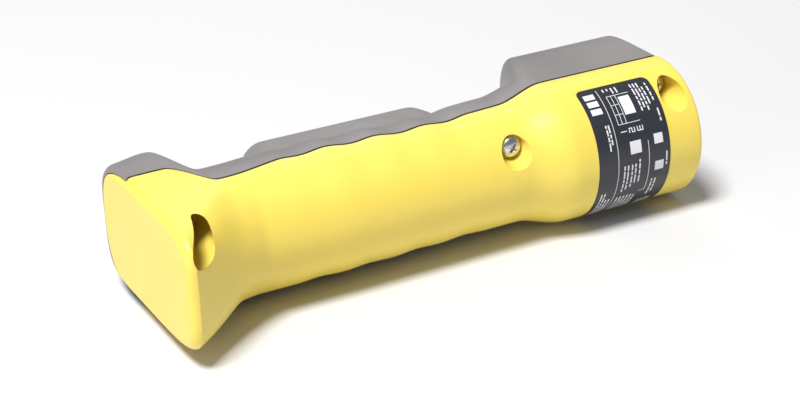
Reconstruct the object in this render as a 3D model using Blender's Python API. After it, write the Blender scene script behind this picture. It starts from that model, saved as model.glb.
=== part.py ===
"""Hand-held enabling grip switch: two moulded half shells round a sprung three-position button.

Metres, +Z up. The grip lies on its side: +X runs along it to the cable end, +Y is the pressing
side and -Y is the back. Distances along the grip are measured from the flat head end, and
depths and half widths are measured from the axis of the round cable end.
"""
import math

import bmesh
import bpy
from mathutils import Vector

# Overall sizes
GRIP_LENGTH = 0.170
END_RADIUS = 0.0212
BODY_RADIUS = 0.0189
WAIST_RADIUS = 0.0178
HEAD_BACK = 0.0355
HEAD_HALF_WIDTH = 0.0180
HUMP_FRONT = 0.0335
SHELL_WALL = 0.0026
END_WALL = 0.0032
SEAT_GAP = 0.0003
OVERRUN = 0.0040

# Head, lip and finger rest
FLARE_LENGTH = 0.0300
FLARE_POWER = 1.3
HEAD_EDGE_ROUND = 0.0024
LIP_EDGE_INSET_SHARE = 0.35
PLATE_THICKNESS = 0.0026
PLATE_INSET = 0.0011
PLATE_CORNER_INSET = 0.0008
PLATE_POWER_SHARE = 2 / 3
LIP_EDGE_FRONT = 0.0295
LIP_FRONT = 0.0335
LIP_RISE_LENGTH = 0.0135
LIP_DROP_START = 0.0140
LIP_DROP_LENGTH = 0.0060
FINGER_FRONT = 0.0181
HEAD_OUTLINE_FRONT = 0.0300
END_OUTLINE_FRONT = 0.0420
HEAD_POWER_LENGTH_SHARE = 0.8

# Squareness of the sections: 2 is an ellipse, more is boxier
ROUND_POWER = 2.0
HEAD_POWER_GAIN = 3.2
FRONT_POWER = 2.6
LIP_POWER_GAIN = 1.6
HUMP_POWER_GAIN = 3.4

# Waist, shoulder and hump
TAPER_START = 0.0500
TAPER_LENGTH = 0.0600
SHOULDER_START = 0.1130
SHOULDER_LENGTH = 0.0150
CREST_START = 0.0850
CREST_LENGTH = 0.0270
CREST_FRONT = 0.0215
HUMP_START = 0.1230
HUMP_LENGTH = 0.0110
RIM_ROUND = 0.0012
HUMP_END_ROUND = 0.0020

# Parting line between the two covers
LIP_PARTING = 0.0105
NOTCH_PARTING = 0.0090
NOTCH_LENGTH = 0.0030
LIP_PARTING_LENGTH = 0.0125
LIP_PARTING_DROP = 0.0095
FINGER_PARTING = -0.0046
MIDDLE_PARTING = -0.0012
MIDDLE_PARTING_START = 0.0240
MIDDLE_PARTING_LENGTH = 0.0260
SHOULDER_PARTING = 0.0024
SHOULDER_PARTING_START = 0.0800
SHOULDER_PARTING_LENGTH = 0.0520

# Finger ripples along both sides
RIPPLE_START = 0.0405
RIPPLE_PITCH = 0.0155
RIPPLE_COUNT = 4
RIPPLE_DEPTH = 0.0005

# Button, its window and its travel
BUTTON_START = 0.0385
BUTTON_LENGTH = 0.0642
BUTTON_WIDTH_SHARE = 0.73
BUTTON_HALF_WIDTH = BODY_RADIUS * BUTTON_WIDTH_SHARE
BUTTON_FRONT = 0.0262
BUTTON_CORNER = 0.0070
BUTTON_CLEARANCE = 0.0004
BUTTON_TRAVEL = 0.0055
BOOT_WALL = 0.0018
BOOT_FOOT = 0.0080
BOOT_EDGE_ROUND = 0.0035
BOOT_END_SLOPE = 0.0026
BOOT_END_LEAN_SHARE = 0.5
BOOT_SHOULDER_FRONT = 0.0190
SKIRT_WALL = 0.0016
CORE_FOOT = 0.0055
CORE_TAB_REACH = 0.0052
CORE_TAB_HALF_WIDTH = 0.0060
CORE_ROOF = 0.0018
POCKET_WIDTH_SHARE = 0.45
POCKET_HALF_WIDTH = BODY_RADIUS * POCKET_WIDTH_SHARE
PLUNGER_WEB_SHARE = 1.3
SPRING_WEB_SHARE = 1.4

# Switch blocks, plungers, springs and the tray that carries them
BLOCK_LENGTH_SHARE = 0.2025
BLOCK_PITCH_SHARE = 0.2336
BLOCK_WIDTH_SHARE = 0.487
BLOCK_LENGTH = BUTTON_LENGTH * BLOCK_LENGTH_SHARE
BLOCK_PITCH = BUTTON_LENGTH * BLOCK_PITCH_SHARE
BLOCK_HALF_WIDTH = BODY_RADIUS * BLOCK_WIDTH_SHARE
BLOCK_CLEARANCE = 0.0004
TRAY_THICKNESS = 0.0016
TRAY_DEPTH_SHARE = 0.6455
TRAY_WIDTH_SHARE = 0.381
TRAY_LENGTH_SHARE = 0.997
TRAY_BACK = -BODY_RADIUS * TRAY_DEPTH_SHARE
TRAY_HALF_WIDTH = BODY_RADIUS * TRAY_WIDTH_SHARE
TRAY_LENGTH = BUTTON_LENGTH * TRAY_LENGTH_SHARE
PLUNGER_RADIUS = 0.0026
PLUNGER_LENGTH = 0.0082
SPRING_PLACE_SHARE = 0.3115
SPRING_PLACE = BUTTON_LENGTH * SPRING_PLACE_SHARE
SPRING_RADIUS = 0.0030
SPRING_WIRE_RADIUS = 0.00045
SPRING_TURNS = 5
SPRING_STEPS = 10
SPRING_SIDES = 5
SPRING_PEG_RADIUS = 0.0018
SPRING_PEG_LENGTH = 0.0080
TRAY_SCREW_PLACE_SHARE = 0.444
TRAY_SCREW_PLACE = BUTTON_LENGTH * TRAY_SCREW_PLACE_SHARE
TRAY_SCREW_RADIUS = 0.0011
TRAY_SCREW_HEAD_RADIUS = 0.0024
TRAY_SCREW_HEAD_HEIGHT = 0.0016
TRAY_SCREW_BITE = 0.0028
TERMINAL_GAP = 0.0085
TERMINAL_LENGTH = 0.0110
TERMINAL_HALF_WIDTH = 0.0090
TERMINAL_DEPTH_SHARE = 0.6243
TERMINAL_BACK = -BODY_RADIUS * TERMINAL_DEPTH_SHARE
TERMINAL_HEIGHT = 0.0080
TERMINAL_SCREW_COUNT = 4
TERMINAL_SCREW_PITCH = 0.0045
TERMINAL_SCREW_RADIUS = 0.0015
TERMINAL_SCREW_DEPTH = 0.0040
TERMINAL_SCREW_PROUD = 0.0006

# Housing screws along one side, their recesses and the inserts they bite into
HEAD_SCREW_DISTANCE = 0.0076
HEAD_SCREW_SPREAD = 0.0125
HEAD_SCREW_SEAT = -0.0130
MIDDLE_SCREW_GAP = 0.0068
MIDDLE_SCREW_SPREAD = 0.0100
MIDDLE_SCREW_SEAT = -0.0105
END_SCREW_DISTANCE = 0.0066
END_SCREW_SPREAD = 0.0156
END_SCREW_SEAT = -0.0040
SCREW_HEAD_RADIUS = 0.0032
SCREW_HEAD_HEIGHT = 0.0022
SCREW_RADIUS = 0.0015
SCREW_BITE = 0.0060
SCREW_CROWN_SHARE = 0.72
SCREW_SHOULDER_SHARE = 0.93
SCREW_RIM_SHARE = 0.35
RECESS_RADIUS = 0.0036
HEAD_RECESS_FLARE = 0.0014
MIDDLE_RECESS_FLARE = 0.0018
END_RECESS_FLARE = 0.0012
RECESS_WALL = 0.0018
SEAT_THICKNESS = 0.0024
BOSS_RADIUS = 0.0038
END_BOSS_RADIUS = 0.0046
INSERT_RADIUS = 0.0023
INSERT_LENGTH = 0.0050

# Tongues along the other side, which reach inside the back cover's wall
HEAD_TONGUE_DISTANCE = 0.0300
MIDDLE_TONGUE_SHARE = 0.74
END_TONGUE_DISTANCE = 0.0200
TONGUE_HALF_LENGTH = 0.0045
TONGUE_THICKNESS = 0.0020
TONGUE_REACH = 0.0036
TONGUE_STEP = 0.0012
TONGUE_ROOT = 0.0030

# Cable entry and label
ENTRY_RADIUS = 0.0100
ENTRY_BACK = -0.0030
ENTRY_BOSS_RADIUS = 0.0125
ENTRY_BOSS_LENGTH = 0.0090
LABEL_END_DISTANCE = 0.0118
LABEL_LENGTH = 0.0245
LABEL_THICKNESS = 0.0003
LABEL_SPREAD = math.radians(70.0)
LABEL_PROUD = 0.00005

# Seal between the covers
SEAL_WIDTH = 0.0009
SEAL_HEIGHT = 0.0010
SEAL_OVERRUN = 0.0006
SEAL_END_GAP = 0.0010
SEAL_SIDES = (("cover_seal_upper", 1), ("cover_seal_lower", -1))

# Facets
BACK_SEGMENTS = 26
FRONT_SEGMENTS = 20
CAVITY_SEGMENTS = 14
ROUND_SEGMENTS = 16
SMALL_SEGMENTS = 12
CORNER_SEGMENTS = 4
SMOOTH_ANGLE = math.radians(35.0)
PLANAR_ANGLE = math.radians(0.05)
WELD_DISTANCE = 0.000001

# Places worked out from the sizes above
AXIS_Y = (HEAD_BACK - HUMP_FRONT) / 2
AXIS_Z = END_RADIUS
BUTTON_MIDDLE = BUTTON_START + BUTTON_LENGTH / 2
TRAY_FRONT = TRAY_BACK + TRAY_THICKNESS
BLOCK_BACK = TRAY_FRONT + SEAT_GAP
BLOCK_FRONT = CORE_FOOT - BUTTON_TRAVEL - BLOCK_CLEARANCE
BUTTON_END = BUTTON_START + BUTTON_LENGTH
SCREW_STATIONS = (HEAD_SCREW_DISTANCE, BUTTON_END + MIDDLE_SCREW_GAP, GRIP_LENGTH - END_SCREW_DISTANCE)
SCREW_SPREADS = (HEAD_SCREW_SPREAD, MIDDLE_SCREW_SPREAD, END_SCREW_SPREAD)
SCREW_SEATS = (HEAD_SCREW_SEAT, MIDDLE_SCREW_SEAT, END_SCREW_SEAT)
RECESS_FLARES = (HEAD_RECESS_FLARE, MIDDLE_RECESS_FLARE, END_RECESS_FLARE)
TERMINAL_START = SCREW_STATIONS[1] + TERMINAL_GAP
TONGUE_STATIONS = (HEAD_TONGUE_DISTANCE, BUTTON_START + BUTTON_LENGTH * MIDDLE_TONGUE_SHARE,
                   GRIP_LENGTH - END_TONGUE_DISTANCE)


def place(distance, depth, side):
    """Point of the part from its distance from the head, its depth and its side offset."""
    return Vector((distance - GRIP_LENGTH / 2, depth + AXIS_Y, side + AXIS_Z))


def ease(share):
    """Smooth step from 0 to 1."""
    share = min(max(share, 0.0), 1.0)
    return share * share * (3 - 2 * share)


def ramp(distance, start, length):
    """Smooth step that begins at a distance and ends a length later."""
    return ease((distance - start) / length)


def round_inset(distance, radius):
    """How far a quarter-round edge lies inside the outline at a distance from its end."""
    if distance >= radius:
        return 0.0
    share = 1 - distance / radius
    return radius * (1 - math.sqrt(1 - share * share))


def end_inset(distance, rim_round):
    """Inset of the outline at the rounded edges of both ends."""
    return round_inset(distance, HEAD_EDGE_ROUND) + round_inset(GRIP_LENGTH - distance, rim_round)


def ripple(distance):
    """Depth of the finger ripples at a distance from the head."""
    waves = (distance - RIPPLE_START) / RIPPLE_PITCH
    if waves < 0 or waves > RIPPLE_COUNT:
        return 0.0
    return RIPPLE_DEPTH * (1 - math.cos(math.tau * waves)) / 2


def body_size(distance):
    """Radius of the round body from the finger rest to the cable end."""
    taper = (WAIST_RADIUS - BODY_RADIUS) * ramp(distance, TAPER_START, TAPER_LENGTH)
    shoulder = (END_RADIUS - WAIST_RADIUS) * ramp(distance, SHOULDER_START, SHOULDER_LENGTH)
    return BODY_RADIUS + taper + shoulder


def half_width(distance):
    """Half the width of the grip."""
    narrowing = (BODY_RADIUS - HEAD_HALF_WIDTH) * (1 - ramp(distance, 0.0, FLARE_LENGTH))
    return body_size(distance) - narrowing - ripple(distance)


def back_depth(distance):
    """How far the back reaches from the axis, with the hooked flare at the head."""
    share = (distance - HEAD_EDGE_ROUND) / (FLARE_LENGTH - HEAD_EDGE_ROUND)
    share = min(max(share, 0.0), 1.0)
    return body_size(distance) + (HEAD_BACK - BODY_RADIUS) * (1 - share) ** FLARE_POWER


def front_depth(distance):
    """How far the front cover reaches from the axis: lip, finger rest, crest and hump."""
    lip = (LIP_FRONT - FINGER_FRONT) * (1 - ramp(distance, LIP_DROP_START, LIP_DROP_LENGTH))
    lip_edge = (LIP_FRONT - LIP_EDGE_FRONT) * (1 - ease(distance / LIP_RISE_LENGTH))
    crest = (CREST_FRONT - FINGER_FRONT) * ramp(distance, CREST_START, CREST_LENGTH)
    hump = (HUMP_FRONT - CREST_FRONT) * ramp(distance, HUMP_START, HUMP_LENGTH)
    return FINGER_FRONT + lip - lip_edge + crest + hump


def parting_depth(distance):
    """Depth of the parting line between the covers."""
    notch = (NOTCH_PARTING - LIP_PARTING) * (1 - ramp(distance, 0.0, NOTCH_LENGTH))
    drop = (FINGER_PARTING - LIP_PARTING) * ramp(distance, LIP_PARTING_LENGTH, LIP_PARTING_DROP)
    middle = (MIDDLE_PARTING - FINGER_PARTING) * ramp(distance, MIDDLE_PARTING_START, MIDDLE_PARTING_LENGTH)
    shoulder = (SHOULDER_PARTING - MIDDLE_PARTING) * ramp(
        distance, SHOULDER_PARTING_START, SHOULDER_PARTING_LENGTH)
    return LIP_PARTING + notch + drop + middle + shoulder - ripple(distance)


def back_power(distance):
    """Squareness of the back: boxy at the head, round elsewhere."""
    return ROUND_POWER + HEAD_POWER_GAIN * (1 - ramp(distance, 0.0, FLARE_LENGTH * HEAD_POWER_LENGTH_SHARE))


def front_power(distance):
    """Squareness of the front cover: boxy lip, round middle, square-shouldered hump."""
    lip = LIP_POWER_GAIN * (1 - ramp(distance, LIP_DROP_START, LIP_DROP_LENGTH))
    hump = HUMP_POWER_GAIN * ramp(distance, HUMP_START, HUMP_LENGTH)
    return FRONT_POWER + lip + hump


def body_outline_front(distance):
    """Depth of the body's own outline on the front half, above the axis."""
    head = 1 - ramp(distance, 0.0, FLARE_LENGTH)
    end = ramp(distance, SHOULDER_START, SHOULDER_LENGTH)
    growth = (HEAD_OUTLINE_FRONT - BODY_RADIUS) * head + (END_OUTLINE_FRONT - END_RADIUS) * end
    return half_width(distance) + growth


def parting_half_width(distance):
    """Half width of the grip where the covers meet."""
    reach = body_outline_front(distance) if parting_depth(distance) > 0 else back_depth(distance)
    power = back_power(distance)
    share = min(abs(parting_depth(distance)) / reach, 1.0)
    return half_width(distance) * (1 - share ** power) ** (1 / power)


def signed_power(value, power):
    """Power of a value that keeps its sign."""
    return math.copysign(abs(value) ** power, value)


def back_ring(distance, inset, segments, top=None):
    """Closed section of the back shell: round the back, then straight across at the parting."""
    power = back_power(distance)
    width = half_width(distance) - inset
    back = back_depth(distance) - inset
    front = body_outline_front(distance) - inset
    if top is None:
        top = parting_depth(distance)
    reach = front if top > 0 else back
    start = math.acos(math.copysign(min(abs(top) / reach, 1.0) ** (power / 2), top))
    points = []
    for index in range(segments + 1):
        angle = start + (math.tau - 2 * start) * index / segments
        depth_reach = front if math.cos(angle) > 0 else back
        depth = depth_reach * signed_power(math.cos(angle), 2 / power)
        side = width * signed_power(math.sin(angle), 2 / power)
        points.append(place(distance, depth, side))
    return points


def cavity_half_width(distance, depth):
    """Half width of the inside of the back cover at a depth."""
    reach = body_outline_front(distance) if depth > 0 else back_depth(distance)
    power = back_power(distance)
    share = min(abs(depth) / (reach - SHELL_WALL), 1.0)
    return (half_width(distance) - SHELL_WALL) * (1 - share ** power) ** (1 / power)


def front_ring(distance, inset, segments, foot_drop=0.0, depth_share=1.0):
    """Closed section of the front shell: an arch over the parting line, inset less in depth if asked."""
    power = front_power(distance)
    foot = parting_depth(distance) + SEAT_GAP
    width = parting_half_width(distance) - inset
    height = front_depth(distance) - inset * depth_share - foot
    points = []
    for index in range(segments + 1):
        angle = math.pi * (index / segments - 0.5)
        depth = foot + height * signed_power(math.cos(angle), 2 / power)
        side = width * signed_power(math.sin(angle), 2 / power)
        points.append(place(distance, depth, side))
    if foot_drop:
        points[0] = place(distance, foot - foot_drop, -width)
        points[-1] = place(distance, foot - foot_drop, width)
    return points


def front_outline(distance, rim_round, foot_drop=0.0):
    """Outer section of the front shell, with a crisper edge along the front of the lip."""
    share = LIP_EDGE_INSET_SHARE if distance < HEAD_EDGE_ROUND else 1.0
    return front_ring(distance, end_inset(distance, rim_round), FRONT_SEGMENTS, foot_drop, share)


def rounded_ring(middle, half_length, half_breadth, corner, depth, segments=CORNER_SEGMENTS):
    """Rounded rectangle in the plane across the button's travel."""
    points = []
    for quarter, (along, across) in enumerate(((1, 1), (-1, 1), (-1, -1), (1, -1))):
        for index in range(segments + 1):
            angle = math.pi / 2 * (quarter + index / segments)
            distance = middle + along * (half_length - corner) + corner * math.cos(angle)
            side = across * (half_breadth - corner) + corner * math.sin(angle)
            points.append(place(distance, depth, side))
    return points


def make_material(name, colour, roughness, metallic=0.0):
    """Principled material with one colour."""
    material = bpy.data.materials.new(name)
    material.use_nodes = True
    shader = material.node_tree.nodes["Principled BSDF"]
    shader.inputs["Base Color"].default_value = (*colour, 1.0)
    shader.inputs["Roughness"].default_value = roughness
    shader.inputs["Metallic"].default_value = metallic
    material.diffuse_color = (*colour, 1.0)
    return material


def add_object(name, mesh_data, material=None, origin=None, parent=None):
    """Turn a bmesh into a named object with its faces out, or into a cutter without a material."""
    bmesh.ops.remove_doubles(mesh_data, verts=mesh_data.verts, dist=WELD_DISTANCE)
    bmesh.ops.connect_verts_nonplanar(mesh_data, angle_limit=PLANAR_ANGLE, faces=mesh_data.faces)
    bmesh.ops.recalc_face_normals(mesh_data, faces=mesh_data.faces)
    mesh = bpy.data.meshes.new(name)
    origin = origin or Vector((0.0, 0.0, 0.0))
    bmesh.ops.translate(mesh_data, verts=mesh_data.verts, vec=-origin)
    mesh_data.to_mesh(mesh)
    mesh_data.free()
    item = bpy.data.objects.new(name, mesh)
    item.location = origin
    bpy.context.scene.collection.objects.link(item)
    if parent:
        item.parent = parent
        item.location = origin - parent.location
    if material:
        mesh.materials.append(material)
        mesh.shade_smooth()
        mesh.set_sharp_from_angle(angle=SMOOTH_ANGLE)
    else:
        item.hide_render = True
        item.display_type = "WIRE"
    return item


def skin(rings, mesh_data=None):
    """Closed skin over rings of equal count, capped at both ends."""
    mesh_data = mesh_data or bmesh.new()
    rows = [[mesh_data.verts.new(point) for point in ring] for ring in rings]
    count = len(rings[0])
    for lower, upper in zip(rows, rows[1:]):
        for index in range(count):
            after = (index + 1) % count
            mesh_data.faces.new((lower[index], lower[after], upper[after], upper[index]))
    mesh_data.faces.new(rows[0])
    mesh_data.faces.new(list(reversed(rows[-1])))
    return mesh_data


def turned(profile, distance, side, segments=SMALL_SEGMENTS, mesh_data=None):
    """Solid turned about a line along Y, from (radius, depth) points that start and end on it."""
    rings = []
    for radius, depth in profile:
        ring = []
        for index in range(segments):
            angle = math.tau * index / segments
            ring.append(place(distance + radius * math.cos(angle), depth, side + radius * math.sin(angle)))
        rings.append(ring)
    return skin(rings, mesh_data)


def tube(outer, inner, start, end, distance, side, segments=SMALL_SEGMENTS, mesh_data=None):
    """Plain tube along Y between two depths."""
    mesh_data = mesh_data or bmesh.new()
    rows = []
    for radius, depth in ((outer, start), (outer, end), (inner, end), (inner, start)):
        row = []
        for index in range(segments):
            angle = math.tau * index / segments
            point = place(distance + radius * math.cos(angle), depth, side + radius * math.sin(angle))
            row.append(mesh_data.verts.new(point))
        rows.append(row)
    for row, following in zip(rows, rows[1:] + rows[:1]):
        for index in range(segments):
            after = (index + 1) % segments
            mesh_data.faces.new((row[index], row[after], following[after], following[index]))
    return mesh_data


def block(distances, depths, sides, mesh_data=None):
    """Rectangular block between two distances, depths and side offsets."""
    rings = []
    for distance in distances:
        low, high = depths
        left, right = sides
        corners = ((low, left), (high, left), (high, right), (low, right))
        rings.append([place(distance, depth, side) for depth, side in corners])
    return skin(rings, mesh_data)


def cut(item, cutter, operation="DIFFERENCE"):
    """Boolean of an object with a cutter or with an added form."""
    modifier = item.modifiers.new(cutter.name, "BOOLEAN")
    modifier.operation = operation
    modifier.solver = "EXACT"
    modifier.object = cutter


def even_steps(start, end, count):
    """Evenly spaced values from start to end."""
    return [start + (end - start) * index / count for index in range(count + 1)]


def rounded_end_steps(start, radius, inward, count=3):
    """Distances that follow a quarter-round edge inward from an end."""
    turns = [math.pi / 2 * index / count for index in range(count + 1)]
    return [start + inward * radius * (1 - math.cos(turn)) for turn in turns]


def cover_stations(rim_round):
    """Distances at which the outer skin of a cover has a section."""
    ripple_end = RIPPLE_START + RIPPLE_PITCH * RIPPLE_COUNT
    lip_end = LIP_DROP_START + LIP_DROP_LENGTH
    hump_end = HUMP_START + HUMP_LENGTH
    rim_start = GRIP_LENGTH - rim_round
    stations = rounded_end_steps(0.0, HEAD_EDGE_ROUND, 1)
    stations += even_steps(HEAD_EDGE_ROUND, LIP_PARTING_LENGTH, 4)[1:]
    stations += even_steps(LIP_PARTING_LENGTH, lip_end, 5)[1:]
    stations += even_steps(lip_end, RIPPLE_START, 5)[1:]
    stations += even_steps(RIPPLE_START, ripple_end, RIPPLE_COUNT * 5)[1:]
    stations += even_steps(ripple_end, SHOULDER_START, 2)[1:]
    stations += even_steps(SHOULDER_START, hump_end, 9)[1:]
    stations += even_steps(hump_end, rim_start, 3)[1:]
    stations += list(reversed(rounded_end_steps(GRIP_LENGTH, rim_round, -1)))[1:]
    return stations


def cavity_stations(start, end):
    """Distances at which the inside of a cover has a section."""
    lip_end = LIP_DROP_START + LIP_DROP_LENGTH
    hump_end = HUMP_START + HUMP_LENGTH
    stations = even_steps(start, LIP_PARTING_LENGTH, 2)
    stations += even_steps(LIP_PARTING_LENGTH, lip_end, 3)[1:]
    stations += even_steps(lip_end, SHOULDER_START, 7)[1:]
    stations += even_steps(SHOULDER_START, hump_end, 7)[1:]
    return stations + even_steps(hump_end, end, 2)[1:]


def insert_foot(distance):
    """Depth at which a thread insert starts, clear of the sloping parting face."""
    faces = [parting_depth(distance + offset) for offset in (-INSERT_RADIUS, 0.0, INSERT_RADIUS)]
    return max(faces) + 2 * SEAT_GAP


def screw_places():
    """Distance, side offset and seat depth of each housing screw."""
    return list(zip(SCREW_STATIONS, SCREW_SPREADS, SCREW_SEATS))


def recess_mouth(distance, seat):
    """Depth and radius of the wide end of a screw recess, clear of the back."""
    mouth = -HEAD_BACK - OVERRUN
    flare = RECESS_FLARES[SCREW_STATIONS.index(distance)]
    return mouth, RECESS_RADIUS + flare * (seat - mouth) / (seat + back_depth(distance))


def pad_places():
    """Distance and top depth of each pad that carries the tray or the terminal strip."""
    return [(BUTTON_MIDDLE - TRAY_SCREW_PLACE, TRAY_BACK - SEAT_GAP),
            (BUTTON_MIDDLE + TRAY_SCREW_PLACE, TRAY_BACK - SEAT_GAP),
            (TERMINAL_START + TERMINAL_LENGTH / 2, TERMINAL_BACK - SEAT_GAP)]


def plate_rings(end, growth):
    """Sections of the arched front of the end plate, longer than the head at its outer end."""
    foot = NOTCH_PARTING - OVERRUN
    width = parting_half_width(PLATE_THICKNESS) - PLATE_CORNER_INSET + growth
    height = LIP_EDGE_FRONT - PLATE_INSET + growth - NOTCH_PARTING
    rings = []
    for distance in (-OVERRUN, end):
        ring = [place(distance, foot, -width)]
        for index in range(FRONT_SEGMENTS + 1):
            angle = math.pi * (index / FRONT_SEGMENTS - 0.5)
            depth = NOTCH_PARTING + height * signed_power(math.cos(angle), PLATE_POWER_SHARE)
            side = width * signed_power(math.sin(angle), PLATE_POWER_SHARE)
            ring.append(place(distance, depth, side))
        ring.append(place(distance, foot, width))
        rings.append(ring)
    return rings


def make_end_plate():
    """Arched front of the end plate, flush with the rounded end of the lip."""
    plate = add_object("end_plate", skin(plate_rings(PLATE_THICKNESS, 0.0)))
    stations = rounded_end_steps(0.0, HEAD_EDGE_ROUND, 1) + [LIP_PARTING_LENGTH]
    rings = [front_outline(distance, RIM_ROUND, OVERRUN) for distance in stations]
    cut(plate, add_object("head_outline", skin(rings)), "INTERSECT")
    return plate


def back_cavity():
    """Inside of the back cover, with the bosses and pads left standing."""
    start = PLATE_THICKNESS
    end = GRIP_LENGTH - END_WALL
    rings = []
    for distance in cavity_stations(start, end):
        top = parting_depth(distance) + OVERRUN
        rings.append(back_ring(distance, SHELL_WALL, CAVITY_SEGMENTS, top))
    cavity = add_object("back_cavity", skin(rings))
    bosses = bmesh.new()
    for distance, side, seat in screw_places():
        outer = RECESS_RADIUS + RECESS_WALL
        mouth, mouth_radius = recess_mouth(distance, seat)
        radius = boss_radius(distance)
        top = parting_depth(distance) + 2 * OVERRUN
        step = seat + SEAT_THICKNESS
        profile = ((0.0, mouth), (mouth_radius + RECESS_WALL, mouth), (outer, seat), (outer, step),
                   (radius, step), (radius, top), (0.0, top))
        turned(profile, distance, side, ROUND_SEGMENTS, bosses)
    cut(cavity, add_object("back_bosses", bosses))
    pads = bmesh.new()
    for distance, top in pad_places():
        profile = ((0.0, -HEAD_BACK), (BOSS_RADIUS, -HEAD_BACK), (BOSS_RADIUS, top), (0.0, top))
        turned(profile, distance, 0.0, ROUND_SEGMENTS, pads)
    cut(cavity, add_object("inner_pads", pads))
    cut(cavity, entry_bore("back_entry_boss", ENTRY_BOSS_RADIUS, GRIP_LENGTH - ENTRY_BOSS_LENGTH))
    for name, sign in SEAL_SIDES:
        cut(cavity, add_object(f"{name}_rebate", skin(seal_rings(sign, SEAT_GAP))), "UNION")
    return cavity


def entry_bore(name, radius, start):
    """Round bar about the cable entry, out through the cable end."""
    rings = []
    for distance in (start, GRIP_LENGTH + OVERRUN):
        ring = []
        for index in range(ROUND_SEGMENTS * 2):
            angle = math.pi * index / ROUND_SEGMENTS
            ring.append(place(distance, ENTRY_BACK + radius * math.cos(angle), radius * math.sin(angle)))
        rings.append(ring)
    return add_object(name, skin(rings))


def recess_cutter():
    """Flared recesses of the housing screws with their clearance holes, and the tray screws' bores."""
    cutters = bmesh.new()
    for distance, side, seat in screw_places():
        hole = SCREW_RADIUS + SEAT_GAP
        top = parting_depth(distance) + OVERRUN
        mouth, mouth_radius = recess_mouth(distance, seat)
        profile = ((0.0, mouth), (mouth_radius, mouth), (RECESS_RADIUS, seat),
                   (hole, seat), (hole, top), (0.0, top))
        turned(profile, distance, side, ROUND_SEGMENTS, cutters)
    hole = TRAY_SCREW_RADIUS + SEAT_GAP
    for offset in (-TRAY_SCREW_PLACE, TRAY_SCREW_PLACE):
        floor = TRAY_BACK - 2 * SEAT_GAP - TRAY_SCREW_BITE
        profile = ((0.0, floor), (hole, floor), (hole, TRAY_BACK + OVERRUN), (0.0, TRAY_BACK + OVERRUN))
        turned(profile, BUTTON_MIDDLE + offset, 0.0, SMALL_SEGMENTS, cutters)
    return add_object("recess_cutter", cutters)


def label_ring(radius, start, end, spread, mesh_data=None):
    """Curved strip about the round end between two radii, as a closed solid."""
    inner, outer = radius
    count = ROUND_SEGMENTS
    rings = []
    for index in range(count + 1):
        angle = math.pi - spread + 2 * spread * index / count
        corners = ((start, inner), (start, outer), (end, outer), (end, inner))
        rings.append([place(at, size * math.cos(angle), size * math.sin(angle)) for at, size in corners])
    return skin(rings, mesh_data)


def seal_rings(sign, growth):
    """Sections of one side's seal, or of its rebate when it grows by the seat gap."""
    end = SCREW_STATIONS[-1] - END_BOSS_RADIUS - SEAL_END_GAP + growth
    start = LIP_PARTING_LENGTH + LIP_PARTING_DROP - growth
    between = [distance for distance in cover_stations(RIM_ROUND) if start < distance < end]
    rings = []
    for distance in [start] + between + [end]:
        inner = parting_half_width(distance) - SHELL_WALL - (SEAL_OVERRUN if growth else 0.0)
        outer = parting_half_width(distance) - SHELL_WALL + SEAL_WIDTH + growth
        low = parting_depth(distance) - SEAL_HEIGHT - growth
        high = parting_depth(distance) + (2 * OVERRUN if growth else 0.0)
        corners = ((low, inner), (high, inner), (high, outer), (low, outer))
        rings.append([place(distance, depth, sign * side) for depth, side in corners])
    return rings


def make_rear_cover():
    """Back half of the housing: flared head, flat end plate, round cable end and screw recesses."""
    material = make_material("yellow_shell", (0.90, 0.72, 0.06), 0.42)
    rings = [back_ring(distance, end_inset(distance, RIM_ROUND), BACK_SEGMENTS)
             for distance in cover_stations(RIM_ROUND)]
    cover = add_object("rear_cover", skin(rings), material)
    cut(cover, make_end_plate(), "UNION")
    cut(cover, back_cavity())
    cut(cover, recess_cutter())
    cut(cover, entry_bore("back_entry_hole", ENTRY_RADIUS, GRIP_LENGTH - ENTRY_BOSS_LENGTH - OVERRUN))
    label_end = GRIP_LENGTH - LABEL_END_DISTANCE
    radii = (END_RADIUS + LABEL_PROUD - LABEL_THICKNESS - SEAT_GAP, END_RADIUS + OVERRUN)
    pocket = label_ring(radii, label_end - LABEL_LENGTH - SEAT_GAP, label_end + SEAT_GAP,
                        LABEL_SPREAD + SEAT_GAP / END_RADIUS)
    cut(cover, add_object("label_pocket", pocket))
    return cover


def boss_radius(distance):
    """Radius of a screw boss, wider at the cable end where it fills the corner."""
    return END_BOSS_RADIUS if distance == SCREW_STATIONS[-1] else BOSS_RADIUS


def make_tongues():
    """Tongues of the front cover that reach past the parting line, inside the back cover."""
    tongues = bmesh.new()
    for distance in TONGUE_STATIONS:
        outer = parting_half_width(distance) - SHELL_WALL - 2 * SEAT_GAP
        inner = outer - TONGUE_THICKNESS
        root = parting_half_width(distance) - SHELL_WALL / 2
        low = parting_depth(distance) - TONGUE_REACH
        length = (-TONGUE_HALF_LENGTH, 0.0, TONGUE_HALF_LENGTH)
        tip = min(cavity_half_width(distance + offset, low) for offset in length) - 2 * SEAT_GAP
        step = parting_depth(distance) + TONGUE_STEP
        high = parting_depth(distance) + TONGUE_ROOT
        tip = min(tip, outer)
        profile = ((low, -tip), (low, TONGUE_THICKNESS - tip), (high, -inner), (high, -root), (step, -root),
                   (step, -outer))
        skin([[place(at, depth, side) for depth, side in profile]
              for at in (distance - TONGUE_HALF_LENGTH, distance + TONGUE_HALF_LENGTH)], tongues)
    return add_object("tongues", tongues)


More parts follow.
